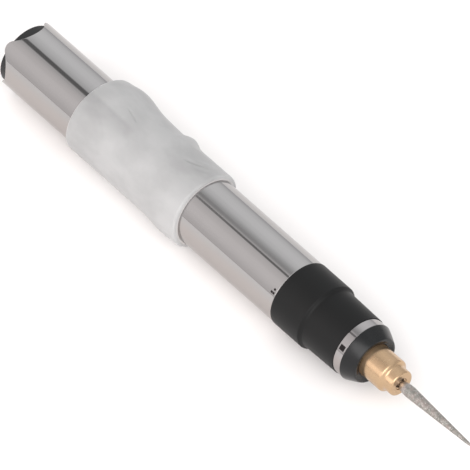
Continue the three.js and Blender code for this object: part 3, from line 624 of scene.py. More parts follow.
def milky_silicone(name, tint, rear, front, inner):
    """Frosted silicone: light sinks in, soft clouds run along it, and it carries painted shade, a pale rear
    lip with a painted highlight, and painted light at its front next to the tube.

    It lies from rear to front in the pen's frame, round a bore with the radius inner.
    """
    sink = {"Subsurface Weight": 0.3, "Subsurface Radius": (0.0030, 0.0031, 0.0032), "Subsurface Scale": 1.0}
    finish = Finish(name, {**sink, "IOR": 1.41, "Specular IOR Level": 0.34})
    lean = finish.lean()
    along = finish.along(ALONG_PEN)
    from_rear = along - rear
    from_front = along - front
    cloud = finish.grain(0.0065, roughness=0.55, stretch=(0.7, 1.0, 1.0))
    body = finish.tones(cloud.between(0.33, 0.67), tint, dark=0.93, light=1.06)
    # Painted shade: darker by side and along the sleeve, and over the tube's reflected dark line.
    painted_shade = silicone_shade(lean, from_rear, from_front)
    shaded = finish.mix(painted_shade, body, (0.0, 0.0, 0.0))
    # A pale rear lip, as thin silicone is, brightest on one side as a painted highlight.
    lip_length = 0.0007
    pale_lip_highlight_colour = (0.75, 0.70, 0.69)
    lip = from_rear.between(0.0, lip_length, 0.9, 0.0) * lean.turning(-35, 5, 1.0, 0.2)
    pale_lip_and_highlight = finish.mix(lip, shaded, pale_lip_highlight_colour)
    # Painted light: the front face is paler next to the tube, where its corner with the tube falls into
    # shade.
    edge_start = 0.0002
    edge_end = 0.0006
    painted_contact_light_colour = (0.56, 0.545, 0.54)
    front_half = from_rear.between(*Ramp(0.01, 0.02))
    edge = finish.from_axis().between(inner + edge_start, inner + edge_end, *FALLING) * front_half
    finish.paint(finish.mix(edge, pale_lip_and_highlight, painted_contact_light_colour))
    finish.roughen(0.34 + cloud * 0.22)
    fine_grain = 0.0007
    soft_grain = 0.004
    relief = 0.000025
    skin = finish.grain(fine_grain, detail=4.0) + finish.grain(soft_grain, detail=2.0) * 3.0
    finish.emboss(skin, relief, strength=0.6)
    return finish


def silicone_shade(lean, from_rear, from_front):
    """Painted shade on the silicone: a painted dark streak over the tube's dark reflected line, and darker
    along its middle, near its front and on its near side at the rear.
    """
    line_end = Ramp(0.012, 0.019, *FALLING)
    rear_end = Ramp(0.008, 0.02, *FALLING)
    front_end = Ramp(-0.016, -0.006)
    line = lean.turning(-48, -17) * lean.turning(-14, -7, *FALLING) * from_rear.between(*line_end)
    near_side = lean.turning(-60, 0, *FALLING) * from_rear.between(*rear_end)
    middle = lean.turning(-50, -15) * lean.turning(5, 35, *FALLING)
    soft = middle * from_front.between(*front_end)
    return line * 0.15 + soft * 0.07 + middle * 0.05 + near_side * 0.07


def moulded_plastic(name, tint, roughness=0.42, specular=0.35, grain=0.00025):
    """Fine-grained moulded plastic."""
    cloud_size = 0.006
    relief = 0.000009
    finish = Finish(name, {"IOR": 1.5, "Specular IOR Level": specular})
    cloud = finish.grain(cloud_size, detail=4.0, roughness=0.6)
    finish.paint(finish.tones(cloud, tint, dark=0.85, light=1.18))
    finish.roughen(roughness - 0.05 + cloud * 0.1)
    finish.emboss(finish.grain(grain, detail=2.0), relief, strength=0.6)
    return finish


def turned_metal(name, tint, roughness=0.2, pitch=0.00009, stain=0.9, lit_rough_from=None):
    """Metal from the lathe: fine rings round the axis, and uneven tarnish.

    Behind a given station it is rougher, and its colour there is lighter as painted light.
    """
    cloud_size = 0.0022
    lit_rough_length = 0.0016
    relief = 0.0000008
    finish = Finish(name, {"Metallic": 1.0})
    ring = finish.grain(pitch, detail=2.0, roughness=0.6, stretch=(1.0, 0.02, 0.02))
    cloud = finish.grain(cloud_size, detail=4.0, roughness=0.6)
    body = finish.tones(cloud.between(0.25, 0.75), tint, stain)
    shine = finish.mix(ring * 0.3, body, tinted(tint, 1.15))
    rough = roughness - 0.05 + cloud * 0.1 + ring * 0.04
    if lit_rough_from is not None:
        # Painted light: behind that station the colour is lighter, and the surface rougher.
        lit_rough = finish.along(ALONG_PEN).between(lit_rough_from - lit_rough_length, lit_rough_from, *FALLING)
        shine = finish.mix(lit_rough, shine, tinted(tint, 1.35))
        rough = rough + lit_rough * 0.24
    finish.paint(shine)
    finish.roughen(rough)
    finish.emboss(ring, relief, strength=0.5)
    return finish


def rolled_metal(name, tint, roughness=0.35):
    """Drawn or rolled sheet and bar, with long fine scratches."""
    scratch_size = 0.00025
    cloud_size = 0.004
    relief = 0.000003
    finish = Finish(name, {"Metallic": 1.0})
    scratch = finish.grain(scratch_size, roughness=0.6, stretch=(0.06, 1.0, 1.0))
    finish.paint(finish.tones(finish.grain(cloud_size), tint, dark=0.86, light=1.06))
    finish.roughen(roughness - 0.07 + scratch * 0.14)
    finish.emboss(scratch, relief, strength=0.7)
    return finish


def porous_solid(name, tint, roughness=0.6, metallic=0.0, pore=0.0002):
    """Pressed and fired or sintered stuff, with open pores."""
    cloud_size = 0.0015
    relief = 0.00001
    finish = Finish(name, {"Metallic": metallic})
    hole = finish.cells(pore).between(0.1, 0.45)
    finish.paint(finish.tones(hole, tint, 0.55))
    finish.roughen(roughness + finish.grain(cloud_size, detail=4.0) * 0.2)
    finish.emboss(hole, relief, strength=0.7)
    return finish


def wound_copper(name, tint, angle):
    """Lacquered wire in layers that lie side by side up the pole."""
    wire = 0.00034
    cloud_size = 0.0008
    relief = 0.00006
    finish = Finish(name, {"Metallic": 0.75, "Coat Weight": 0.4, "Coat Roughness": 0.15})
    winding = finish.along((0.0, math.sin(angle), math.cos(angle))).ripple(wire)
    finish.paint(finish.tones(winding, tint, 0.3))
    finish.roughen(0.25 + finish.grain(cloud_size) * 0.2)
    finish.emboss(winding, relief)
    return finish


def stacked_sheets(name, tint):
    """A stack of thin steel sheets across the pen."""
    sheet = 0.0005
    cloud_size = 0.001
    relief = 0.00003
    finish = Finish(name, {"Metallic": 1.0})
    edge = finish.along(ALONG_PEN).ripple(sheet)
    finish.paint(finish.tones(edge, tint, 0.45))
    finish.roughen(0.4 + finish.grain(cloud_size) * 0.2)
    finish.emboss(edge, relief)
    return finish


def diamond_coat(name, tint, neck, full):
    """Nickel crowded with diamond grains, thin at the neck, and bare ground steel behind it."""
    grain_size = 0.0001
    cloud_size = 0.0007
    patch_size = 0.0011
    scratch_size = 0.0004
    relief = 0.00002
    rust = (0.34, 0.28, 0.26)
    diamond = (0.93, 0.92, 0.88)
    dark_steel = (0.42, 0.41, 0.42)
    bright_steel = (0.55, 0.53, 0.54)
    finish = Finish(name, {"IOR": 1.8})
    coated = finish.along(ALONG_PEN).between(PEN_START + neck, PEN_START + full)
    cell = {"Color": finish.cells(grain_size, "Color")}
    pick, turned_to = (finish.add("ShaderNodeSeparateColor", {}, cell, part) for part in ("Red", "Green"))
    cloud = finish.grain(cloud_size, roughness=0.6).between(0.3, 0.7)
    patch = finish.grain(patch_size, detail=2.0).between(0.42, 0.6)
    warm = finish.mix(patch * 0.5, finish.tones(cloud, tint, dark=0.62, light=1.2), rust)
    grains = finish.mix((pick > 0.965) * 0.8, warm, diamond)
    scratch = finish.grain(scratch_size, detail=2.0, stretch=(1.0, 0.05, 0.05))
    steel = finish.mix(scratch, dark_steel, bright_steel)
    finish.paint(finish.mix(coated, steel, grains))
    finish.feed("Metallic", 1.0 - coated * (0.25 + pick * 0.3))
    finish.roughen(0.24 + coated * (0.06 + turned_to * 0.3))
    finish.emboss(finish.cells(grain_size) * coated, relief, strength=0.6)
    return finish


# Pieces

LOBES = 4
WALL_RINGS = 12


def scallop_edge(tube, distance):
    """How far the tail edge lies in from the lobe tips, at a distance round from a scallop's middle."""
    half_pitch = math.pi * tube.radius / LOBES
    depth = tube.scallop_depth
    tip = tube.lobe_tip_radius
    hollow = (half_pitch**2 / depth + depth) / 2 - tip
    tangent = half_pitch * hollow / (hollow + tip)
    if distance <= tangent:
        return depth - hollow + math.sqrt(hollow**2 - distance**2)
    return tip - math.sqrt(tip**2 - (half_pitch - distance) ** 2)


def wall_rows(tube, tail, front):
    """The wall's rows: a radius, a station, and whether that is counted from the scalloped edge."""
    bore = tube.radius - tube.wall
    ease = tube.edge_ease
    end = tube.front_ease
    beside_ease = 3
    straight = tail + tube.scallop_depth + tube.lobe_tip_radius
    run = front - straight - beside_ease * end
    quarter = [math.pi / 2 * step / ROUND_STEPS for step in range(ROUND_STEPS + 1)]
    rows = [(bore + ease * (1 - math.cos(q)), ease * (1 - math.sin(q)), True) for q in quarter]
    rows += [(tube.radius - ease * (1 - math.sin(q)), ease * (1 - math.cos(q)), True) for q in quarter]
    rows += [(tube.radius, beside_ease * ease, True)]
    rows += [(tube.radius, straight + run * ring / WALL_RINGS, False) for ring in range(WALL_RINGS + 1)]
    rows += [(tube.radius - end * (1 - math.cos(q)), front - end * (1 - math.sin(q)), False) for q in quarter]
    rows += [(bore + end * (1 - math.sin(q)), front - end * (1 - math.cos(q)), False) for q in quarter]
    rows += [(bore, front - beside_ease * end, False), (bore, straight, False)]
    return rows + [(bore, beside_ease * ease, True)]


class PEN_OT_body_tube(bpy.types.Operator):
    """Build the chromed tube with its scalloped tail end"""

    bl_idname = "engraving_pen.body_tube"
    bl_label = "Body Tube"

    def execute(self, context):
        pen = context.scene.engraving_pen
        tube = pen.tube
        tail, front = span("body_tube")
        tail -= tube.tail_reach
        rows = wall_rows(tube, tail, front)
        pitch = FULL_TURN / LOBES

        def place(row, angle):
            radius, station, follows_edge = rows[row]
            if follows_edge:
                offset = (angle - tube.lobe_turn) % pitch
                station += tail + scallop_edge(tube, abs(offset - pitch / 2) * tube.radius)
            return radius, station

        piece = crisp(lofted("tube_wall", TUBE_SIDES, len(rows), place))
        chrome = polished_metal("polished_chrome", pen.colours.chrome)
        placed(piece, chrome, "barrel", "tube_chrome", "body_tube")
        return {"FINISHED"}


SLEEVE_SIDES = 320
SLEEVE_ROWS = 320
INSIDE_STEPS = 4
RIPPLES_ALONG = 5
RIPPLES_AROUND = 1.3

# A swelling of the sleeve sits at a share of its length, faces one side, and fades out along and around
Swelling = namedtuple("Swelling", "place_share reach_share side spread rise")
SWELLINGS = (
    Swelling(0.16, 0.15, 60.6, 75, 0.00156),
    Swelling(0.03, 0.03, 60.6, 75, 0.00015),
    Swelling(0.1, 0.15, -119.4, 60, -0.00018),
    Swelling(0.85, 0.18, 60.6, 60, 0.00015),
    Swelling(0.14, 0.13, -30, 55, 0.0007),
    Swelling(0.47, 0.16, 60.6, 60, 0.0002),
    Swelling(0.62, 0.045, 60.6, 40, 0.00095),
    Swelling(0.45, 0.22, -119.4, 70, -0.00008),
    Swelling(0.88, 0.12, -119.4, 70, 0.00058),
)

# A crease runs between two spots, each a share of the sleeve's length and a side in degrees
Crease = namedtuple("Crease", "start_share start_side end_share end_side width depth")
CREASES = (
    Crease(0.263, 6.5, 0.33, 3.5, 0.0002, 0.00022),
    Crease(0.33, 4.5, 0.37, 0.5, 0.0003, 0.00025),
    Crease(0.775, 8.0, 0.83, 12.5, 0.0004, 0.0003),
    Crease(0.83, 12.5, 0.9, 27.0, 0.0006, 0.0005),
    Crease(0.82, 18.0, 0.89, 34.0, 0.0007, 0.0003),
    Crease(0.86, 8.0, 0.95, 19.0, 0.0008, 0.0002),
    Crease(0.7, 44.0, 0.76, 70.0, 0.0006, 0.00018),
)


def fade(distance, reach):
    """A smooth swell, 1 at its middle and nearly gone at three reaches away."""
    return math.exp(-((distance / reach) ** 2))


def angle_between(angle, other):
    """The shortest turn from one angle to another."""
    return (angle - other + math.pi) % FULL_TURN - math.pi


def swelling_rise(one, place_share, angle):
    """How much a swelling adds at a share of the sleeve's length and an angle."""
    around = fade(angle_between(angle, math.radians(one.side)), math.radians(one.spread))
    return one.rise * fade(place_share - one.place_share, one.reach_share) * around


def crease_depth(one, place_share, angle, run, radius):
    """How much a crease takes away at a share of the sleeve's length and an angle, less near its ends."""
    shallow_share = 0.1
    start_side, end_side = math.radians(one.start_side), math.radians(one.end_side)
    line = Vector(((one.end_share - one.start_share) * run, (end_side - start_side) * radius))
    spot = Vector(((place_share - one.start_share) * run, angle_between(angle, start_side) * radius))
    way = max(0.0, min(1.0, spot.dot(line) / line.length_squared))
    fullness = math.sin(math.pi * (shallow_share + (1 - 2 * shallow_share) * way))
    return one.depth * fade((spot - line * way).length, one.width) * fullness


def sleeve_thickness(sleeve, place_share, angle, run, radius):
    """The sleeve's thickness at a share of its length and an angle."""
    thickness = sleeve.wall
    thickness += sum(swelling_rise(one, place_share, angle) for one in SWELLINGS)
    thickness -= sum(crease_depth(one, place_share, angle, run, radius) for one in CREASES)
    around = Vector((0, math.sin(angle), math.cos(angle))) * RIPPLES_AROUND
    return thickness + sleeve.ripple * noise.noise(around + Vector((place_share * RIPPLES_ALONG, 0, 0)))


class PEN_OT_grip_sleeve(bpy.types.Operator):
    """Build the soft silicone grip sleeve"""

    bl_idname = "engraving_pen.grip_sleeve"
    bl_label = "Grip Sleeve"

    def execute(self, context):
        pen = context.scene.engraving_pen
        sleeve = pen.sleeve
        rear, front = span("grip_sleeve")
        run = front - rear
        inner = pen.tube.radius + sleeve.fit_gap
        end_shares = [sleeve.edge / 12 / run, sleeve.edge / 4 / run]
        inside_shares = [1 - share for share in end_shares]
        inside_shares += [1 - step / INSIDE_STEPS for step in range(1, INSIDE_STEPS)]
        inside_shares += reversed(end_shares)

        def place(row, angle):
            reach = run + sleeve.skew * fade(angle_between(angle, sleeve.skew_side), sleeve.skew_spread)
            if row >= SLEEVE_ROWS:
                return inner, rear + inside_shares[row - SLEEVE_ROWS] * reach
            place_share = (1 - math.cos(math.pi * row / (SLEEVE_ROWS - 1))) / 2
            from_end = min(place_share, 1 - place_share) * run
            roundness = math.sqrt(1 - (1 - min(from_end / sleeve.lip, 1.0)) ** 2)
            thickness = sleeve_thickness(sleeve, place_share, angle, run, inner)
            radius = inner + sleeve.edge + (thickness - sleeve.edge) * roundness
            if math.cos(angle) < 0:
                radius = min(radius, AXIS_HEIGHT / -math.cos(angle))
            return radius, rear + place_share * reach

        piece = crisp(lofted("silicone_grip", SLEEVE_SIDES, SLEEVE_ROWS + len(inside_shares), place))
        ends = PEN_START + rear, PEN_START + front
        silicone = milky_silicone("milky_silicone", pen.colours.silicone, *ends, inner)
        placed(piece, silicone, "barrel", "sleeve_silicone", "grip_sleeve")
        return {"FINISHED"}


def build_plug(pen):
    """The black plug in the tube's tail."""
    plug = pen.plug
    start, end = span("end_plug")
    start -= pen.tube.tail_reach
    radius = radius_of("end_plug")
    wall_share = 0.133
    inner = radius * (1 - wall_share)
    recess = span("socket_body")[0] + plug.flange + SEAT_GAP
    recess_ease = 0.00015
    flange_seat = plug.flange_radius + FIT_GAP
    barrel_hole = plug.inlet_barrel + FIT_GAP
    outline = [
        Corner(flange_seat, start, recess_ease),
        Corner(radius, start, plug.edge_ease),
        Corner(radius, end, plug.edge_ease),
        Corner(inner, end),
        Corner(inner, plug.floor, plug.edge_ease),
        Corner(barrel_hole, plug.floor),
        Corner(barrel_hole, recess),
        Corner(flange_seat, recess),
    ]
    black = moulded_plastic("plug_black", pen.colours.plug, roughness=0.5)
    placed(crisp(turned("tail_cap", outline)), black, "barrel", "plug_plastic", "end_plug")


def build_socket(pen):
    """The inlet's body, with a slot for its sprung contact."""
    plug = pen.plug
    start, end = span("socket_body")
    flange_end = start + plug.flange
    lead_in = 0.0003
    outline = [
        Corner(plug.inlet_bore, start, lead_in),
        Corner(plug.flange_radius, start, SMALL_EASE),
        Corner(plug.flange_radius, flange_end),
        Corner(plug.inlet_barrel, flange_end),
        Corner(plug.inlet_barrel, end, SMALL_EASE),
        Corner(plug.pin_tail_radius + FIT_GAP, end),
        Corner(plug.pin_tail_radius + FIT_GAP, plug.inlet_depth),
        Corner(plug.inlet_bore, plug.inlet_depth),
    ]
    low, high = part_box("socket_contact")
    clearance = 0.00015
    half_slot = 0.000275
    width = high.y - low.y + 2 * clearance
    heights = plug.inlet_bore - half_slot, plug.inlet_bore + half_slot
    slot = block(low.x - PEN_START - clearance, end + clearance, width, *heights, 0)
    piece = crisp(cut(turned("inlet_barrel", outline, SMALL_SIDES), [slot]))
    gloss = moulded_plastic("inlet_black", pen.colours.plug, roughness=0.3, specular=0.5)
    placed(piece, gloss, "barrel", "inlet_plastic", "socket_body")


def build_pin(pen):
    """The inlet's centre pin."""
    plug = pen.plug
    start, end = span("socket_pin")
    shoulder = plug.inlet_depth - SEAT_GAP
    tip_ease = 0.0005
    outline = [
        Corner(0, start),
        Corner(plug.pin_radius, start, tip_ease),
        Corner(plug.pin_radius, shoulder),
        Corner(plug.pin_tail_radius, shoulder),
        Corner(plug.pin_tail_radius, end, FINE_EASE),
        Corner(0, end),
    ]
    piece = crisp(spun("inlet_pin", rounded(outline), SMALL_SIDES))
    nickel = polished_metal("pin_nickel", pen.colours.pin, roughness=0.15)
    placed(piece, nickel, "barrel", "plated_steel", "socket_pin")


class PEN_OT_tail_plug(bpy.types.Operator):
    """Build the tail plug, the inlet's body and its centre pin"""

    bl_idname = "engraving_pen.tail_plug"
    bl_label = "Tail Plug and Inlet"

    def execute(self, context):
        pen = context.scene.engraving_pen
        build_plug(pen)
        build_socket(pen)
        build_pin(pen)
        return {"FINISHED"}


def build_shell(pen, nose):
    """The black shell, with a bulkhead that carries the motor."""
    spigot_rear, front = span("nose_shell")
    rear = spigot_rear + nose.spigot_length
    spigot = pen.tube.radius - pen.tube.wall - FIT_GAP
    spigot_wall = 0.0006
    waist_ease = 0.0004
    step_start = rear + nose.shoulder
    bulkhead_rear = rear + nose.bulkhead_inset
    bulkhead_front = bulkhead_rear + nose.bulkhead
    outline = [
        Corner(spigot, spigot_rear, SMALL_EASE),
        Corner(spigot, rear),
        Corner(radius_of("nose_shell"), rear, SMALL_EASE),
        Corner(radius_of("nose_shell"), step_start, SMALL_EASE),
        Corner(nose.waist_radius, step_start + nose.step, waist_ease),
        Corner(nose.tip_radius, front, FINE_EASE),
        Corner(nose.bore, front),
        Corner(nose.bore, bulkhead_front),
        Corner(nose.boss_hole, bulkhead_front),
        Corner(nose.boss_hole, bulkhead_rear),
        Corner(spigot - spigot_wall, bulkhead_rear),
        Corner(spigot - spigot_wall, spigot_rear),
    ]
    low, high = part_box("motor_screw_upper")
    screw_height = (low.z + high.z) / 2 - AXIS_HEIGHT
    overrun = 0.0005
    reach = bulkhead_rear - overrun, bulkhead_front + overrun
    drills = [drill(nose.screw_hole, *reach, screw_height, angle) for angle in (0, math.pi)]
    piece = crisp(cut(turned("nose_cone", outline), drills))
    black = moulded_plastic("nose_black", pen.colours.nose, roughness=0.5, specular=0.2)
    placed(piece, black, "barrel", "nose_plastic", "nose_shell")


def build_ring(pen, nose):
    """The bright band in front of the shell."""
    rear, front = span("nose_ring")
    edge_ease = 0.00004
    outline = [
        Corner(nose.bore, rear),
        Corner(nose.ring_radius, rear, edge_ease),
        Corner(nose.ring_radius, front, edge_ease),
        Corner(nose.bore, front),
    ]
    bright = polished_metal("ring_chrome", pen.colours.ring, roughness=0.06)
    placed(crisp(turned("bright_ring", outline)), bright, "barrel", "ring_chrome", "nose_ring")


def build_bezel(pen, nose):
    """The domed cap with its dished mouth."""
    skirt_rear = span("nose_bezel")[0]
    rear = span("nose_ring")[1] + SEAT_GAP
    front = rear + nose.bezel_reach
    skirt = nose.bore - FIT_GAP
    skirt_wall = 0.0012
    crown_share = 0.4
    crown_ease = 0.0024
    crown_drop = 0.0006
    rim_ease = 0.0003
    rim_width = 0.0006
    mouth_ease = 0.00025
    dish_width = 0.0003
    dish_rear = front - 0.00045
    outline = [
        Corner(skirt, skirt_rear, SMALL_EASE),
        Corner(skirt, rear),
        Corner(nose.bezel_radius, rear, FINE_EASE),
        Corner(nose.bezel_radius - crown_drop, rear + nose.bezel_reach * crown_share, crown_ease),
        Corner(nose.bezel_rim_radius, front, rim_ease),
        Corner(nose.bezel_rim_radius - rim_width, front, mouth_ease / 2),
        Corner(nose.bezel_mouth + dish_width, dish_rear, dish_width / 2),
        Corner(nose.bezel_mouth, dish_rear, mouth_ease / 2),
        Corner(nose.bezel_mouth, rear, mouth_ease),
        Corner(skirt - skirt_wall, rear - mouth_ease),
        Corner(skirt - skirt_wall, skirt_rear),
    ]
    black = moulded_plastic("bezel_black", pen.colours.bezel, roughness=0.27, specular=0.36)
    placed(crisp(turned("nose_cap", outline)), black, "barrel", "bezel_plastic", "nose_bezel")


class PEN_OT_nose(bpy.types.Operator):
    """Build the nose shell, its bright ring and its bezel"""

    bl_idname = "engraving_pen.nose"
    bl_label = "Nose"

    def execute(self, context):
        pen = context.scene.engraving_pen
        build_shell(pen, pen.nose)
        build_ring(pen, pen.nose)
        build_bezel(pen, pen.nose)
        return {"FINISHED"}


MARK_TURN = math.radians(-51)
MARK_STEPS = 8
INK_DEPTH = 0.000012

# A printed patch lies between two stations, and between two distances round from the marks' angle
Patch = namedtuple("Patch", "rear front first last")

# The dots on the tube: how far behind its front end each lies, and how far round from the marks' angle
DOT_WIDTH = 0.00058
DOT_SPOTS = ((0.00143, -0.00061), (0.00078, -0.00061), (0.00089, 0.00035))


def printed_mark(name, radius, patches):
    """Thin printed patches that lie on a round surface."""
    points = []
    faces = []
    row = MARK_STEPS + 1
    for patch in patches:
        rows = [len(points) + place * row for place in range(4)]
        for depth in (-INK_DEPTH, INK_DEPTH):
            for station in (patch.rear, patch.front):
                for step in range(row):
                    around = patch.first + (patch.last - patch.first) * step / MARK_STEPS
                    points.append(pen_point(radius + depth, station, MARK_TURN + around / radius))
        loop = (rows[0], rows[1], rows[3], rows[2])
        for step in range(MARK_STEPS):
            for here, there in zip(loop, loop[1:] + loop[:1]):
                faces.append((here + step, there + step, there + step + 1, here + step + 1))
        faces.append(loop)
        faces.append(tuple(corner + MARK_STEPS for corner in reversed(loop)))
    return crisp(outward(made(name, points, faces)))


class PEN_OT_index_marks(bpy.types.Operator):
    """Print the plain index marks on the tube and on the ring"""

    bl_idname = "engraving_pen.index_marks"
    bl_label = "Index Marks"

    def execute(self, context):
        pen = context.scene.engraving_pen
        ink = moulded_plastic("mark_ink", pen.colours.mark, roughness=0.45, specular=0.1)
        half = DOT_WIDTH / 2
        dots = []
        for back, side in DOT_SPOTS:
            station = span("body_tube")[1] - back
            dots.append(Patch(station - half, station + half, side - half, side + half))
        inset = 0.0004
        run = 0.00155
        sides = -0.00055, 0.00085
        start = span("nose_ring")[0] + inset
        square = Patch(start, start + run, *sides)
        for name, radius, patches in (
            ("tube_index", pen.tube.radius, dots),
            ("ring_index", pen.nose.ring_radius, [square]),
        ):
            placed(printed_mark(name, radius, patches), ink, "barrel", "nose_plastic")
        return {"FINISHED"}


JAWS = 3


def build_nut(brass, chuck, nose_rear):
    """The nut, stepped at its front, with the collet's seat in it."""
    rear, front = span("chuck_nut")
    front += chuck.tip_reach
    belly_front = nose_rear - chuck.front_cone
    belly_overlap = 0.0004
    belly_rear = belly_front - belly_overlap
    tip_rear = front - chuck.nut_tip_length
    rim_ease = 0.00035
    rim_back = 0.0008
    groove_drop = 0.0004
    groove_back = 0.0005
    root_ease = 0.0005
    root_back = 0.0001
    tip_ease = 0.0006
    mouth_ease = 0.00025
    mouth = chuck.nose_radius + SEAT_GAP
    belly = chuck.belly_radius + FIT_GAP
    thread = chuck.thread_radius + FIT_GAP
    outline = [
        Corner(thread, rear, SMALL_EASE),
        Corner(chuck.nut_radius, rear, rim_ease),
        Corner(chuck.nut_radius, tip_rear - rim_back, rim_ease),
        Corner(chuck.nut_radius - groove_drop, tip_rear - groove_back, FINE_EASE),
        Corner(chuck.nut_tip_radius, tip_rear - root_back, root_ease),
        Corner(chuck.nut_tip_radius, front, tip_ease),
        Corner(mouth, front, mouth_ease),
        Corner(mouth, nose_rear),
        Corner(belly, belly_front),
        Corner(belly, belly_rear),
        Corner(thread, belly_rear),
    ]
    placed(crisp(turned("brass_nut", outline, NUT_SIDES)), brass, "nut", "chuck_brass", "chuck_nut")


def build_collet(brass, chuck, burr, nose_rear):
    """The collet, with a cone at each end and a slot between each two jaws."""
    rear, front = span("collet")
    front += chuck.tip_reach
    bore = burr.shank_radius + SEAT_GAP
    bore_ease = 0.00008
    belly_front = nose_rear - chuck.front_cone
    belly_rear = belly_front - chuck.belly_length
    cone_rear = belly_rear - chuck.rear_cone
    outline = [
        Corner(bore, rear),
        Corner(chuck.ring_radius, rear, FINE_EASE),
        Corner(chuck.ring_radius, cone_rear),
        Corner(chuck.belly_radius, belly_rear),
        Corner(chuck.belly_radius, belly_front),
        Corner(chuck.nose_radius, nose_rear),
        Corner(chuck.nose_radius, front, FINE_EASE),
        Corner(bore, front, bore_ease),
    ]
    overrun = 0.001
    reach = rear + (cone_rear - rear) / 2, front + overrun
    height = chuck.belly_radius + overrun
    angles = [chuck.slot_turn + FULL_TURN * jaw / JAWS for jaw in range(JAWS)]
    slots = [block(*reach, chuck.slot, 0, height, angle) for angle in angles]
    piece = crisp(cut(turned("brass_collet", outline, SMALL_SIDES), slots))
    placed(piece, brass, "collet_jaws", "chuck_brass", "collet")


class PEN_OT_chuck(bpy.types.Operator):
    """Build the stepped chuck nut and the slotted collet"""

    bl_idname = "engraving_pen.chuck"
    bl_label = "Chuck Nut and Collet"

    def execute(self, context):
        pen = context.scene.engraving_pen
        # The nut is rougher and painted lighter behind this station, as painted light against the shade next
        # to the bezel's mouth.
        lit_rough_inset = 0.0013
        root = PEN_START + span("nose_ring")[1] + pen.nose.bezel_reach + lit_rough_inset
        look = {"roughness": 0.24, "pitch": 0.00012, "stain": 0.96}
        nut_brass = turned_metal("nut_brass", pen.colours.brass, **look, lit_rough_from=root)
        collet_brass = turned_metal("collet_brass", pen.colours.brass, **look)
        nose_rear = span("collet")[1] - pen.chuck.nose_length
        build_nut(nut_brass, pen.chuck, nose_rear)
        build_collet(collet_brass, pen.chuck, pen.burr, nose_rear)
        return {"FINISHED"}


HEAD_RINGS = 250
TIP_STEPS = 8


def build_shank(burr, rear, neck):
    """The outline of the plain steel shank, from its rear end to the neck."""
    rear_ease = 0.0003
    corners = [
        Corner(0, rear),
        Corner(burr.shank_radius, rear, rear_ease),
        Corner(burr.shank_radius, neck - SEAT_GAP),
    ]
    return [tuple(point) for point in rounded(corners)]


def build_head(burr, neck, tip):
    """The outline of the coated head: a quick rise, a long taper and a rounded tip."""
    outline = []
    head_end = tip - burr.end_length
    full = neck + burr.rise
    for ring in range(HEAD_RINGS + 1):
        station = neck + (head_end - neck) * ring / HEAD_RINGS
        if station < full:
            growth = math.sin((station - neck) / burr.rise * math.pi / 2)
            radius = burr.shank_radius + (burr.head_radius - burr.shank_radius) * growth
        else:
            along = (station - full) / (head_end - full)
            radius = burr.head_radius + (burr.end_radius - burr.head_radius) * along
        outline.append((radius, station))
    for step in range(1, TIP_STEPS):
        along = step / TIP_STEPS
        outline.append((burr.end_radius * math.sqrt(1 - along), head_end + burr.end_length * along))
    outline.append((0, tip))
    return outline


class PEN_OT_burr(bpy.types.Operator):
    """Build the diamond burr with its coated head"""

    bl_idname = "engraving_pen.burr"
    bl_label = "Diamond Burr"

    def execute(self, context):
        pen = context.scene.engraving_pen
        burr = pen.burr
        rear, tip = span("burr")
        neck = span("chuck_nut")[1] + burr.neck
        shank = build_shank(burr, rear, neck)
        outline = shank + build_head(burr, neck, tip)
        finer = 2.1
        sunk_share = 0.1
        neck_share = 0.1

        def lift(place, angle):
            if place < len(shank) - 1:
                return 0
            radius, station = outline[place + 1]
            spot = Vector(pen_point(radius, station, angle)) / burr.grain
            rough = noise.noise(spot) / 2 + noise.noise(spot * finer) / 2
            fullness = min((tip - station) / burr.end_length, (station - neck) / burr.rise + neck_share, 1.0)
            return burr.grit * (rough - sunk_share) * fullness

        piece = spun("burr_head", outline, SMALL_SIDES, lift)
        coat = diamond_coat("diamond_coat", pen.colours.burr, neck, neck + burr.rise)
        placed(piece, coat, "cutter", "burr_grit", "burr")
        return {"FINISHED"}


COILS = 3
SEGMENTS = [f"commutator_segment_{coil + 1}" for coil in range(COILS)]

# The finishes inside the pen, by how they are made: each has a name, a tint, a roughness and its nodes
INNER_FINISHES = {
    rolled_metal: (
        ("bright_steel", (0.55, 0.55, 0.54), 0.25, "socket_nut", "motor_shaft"),
        ("spring_bronze", (0.62, 0.40, 0.19), 0.3, "socket_contact", "brush_arm_left", "brush_arm_right"),
        ("motor_zinc", (0.46, 0.47, 0.48), 0.38, "motor_can"),
    ),
    turned_metal: (
        ("screw_steel", (0.33, 0.33, 0.34), 0.35, "motor_screw_upper", "motor_screw_lower"),
        ("commutator_copper", (0.68, 0.33, 0.17), 0.28, *SEGMENTS),
    ),
    porous_solid: (("ferrite", (0.035, 0.035, 0.037), 0.6, "magnet_upper", "magnet_lower"),),
    moulded_plastic: (
        ("bell_nylon", (0.68, 0.64, 0.52), 0.5, "motor_end_bell"),
        ("washer_nylon", (0.75, 0.72, 0.66), 0.45, "thrust_washer_front", "thrust_washer_rear"),
        ("capacitor_coat", (0.42, 0.17, 0.03), 0.35, "suppressor_capacitor"),
        ("commutator_resin", (0.22, 0.045, 0.018), 0.4, "commutator_hub"),
        ("lead_red", (0.42, 0.018, 0.012), 0.4, "lead_red"),
        ("lead_black", (0.012, 0.012, 0.013), 0.4, "lead_black"),
    ),
}

# The tints of the other inner finishes
SINTERED_BRONZE = (0.45, 0.30, 0.14)
CARBON = (0.03, 0.028, 0.028)
RUBBER = (0.012, 0.012, 0.012)
SHEET_STEEL = (0.28, 0.28, 0.29)
COIL_COPPER = (0.60, 0.24, 0.09)


def cover(finish, *nodes):
    """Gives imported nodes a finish."""
    for node in nodes:
        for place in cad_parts[node].material_slots:
            place.material = finish.material


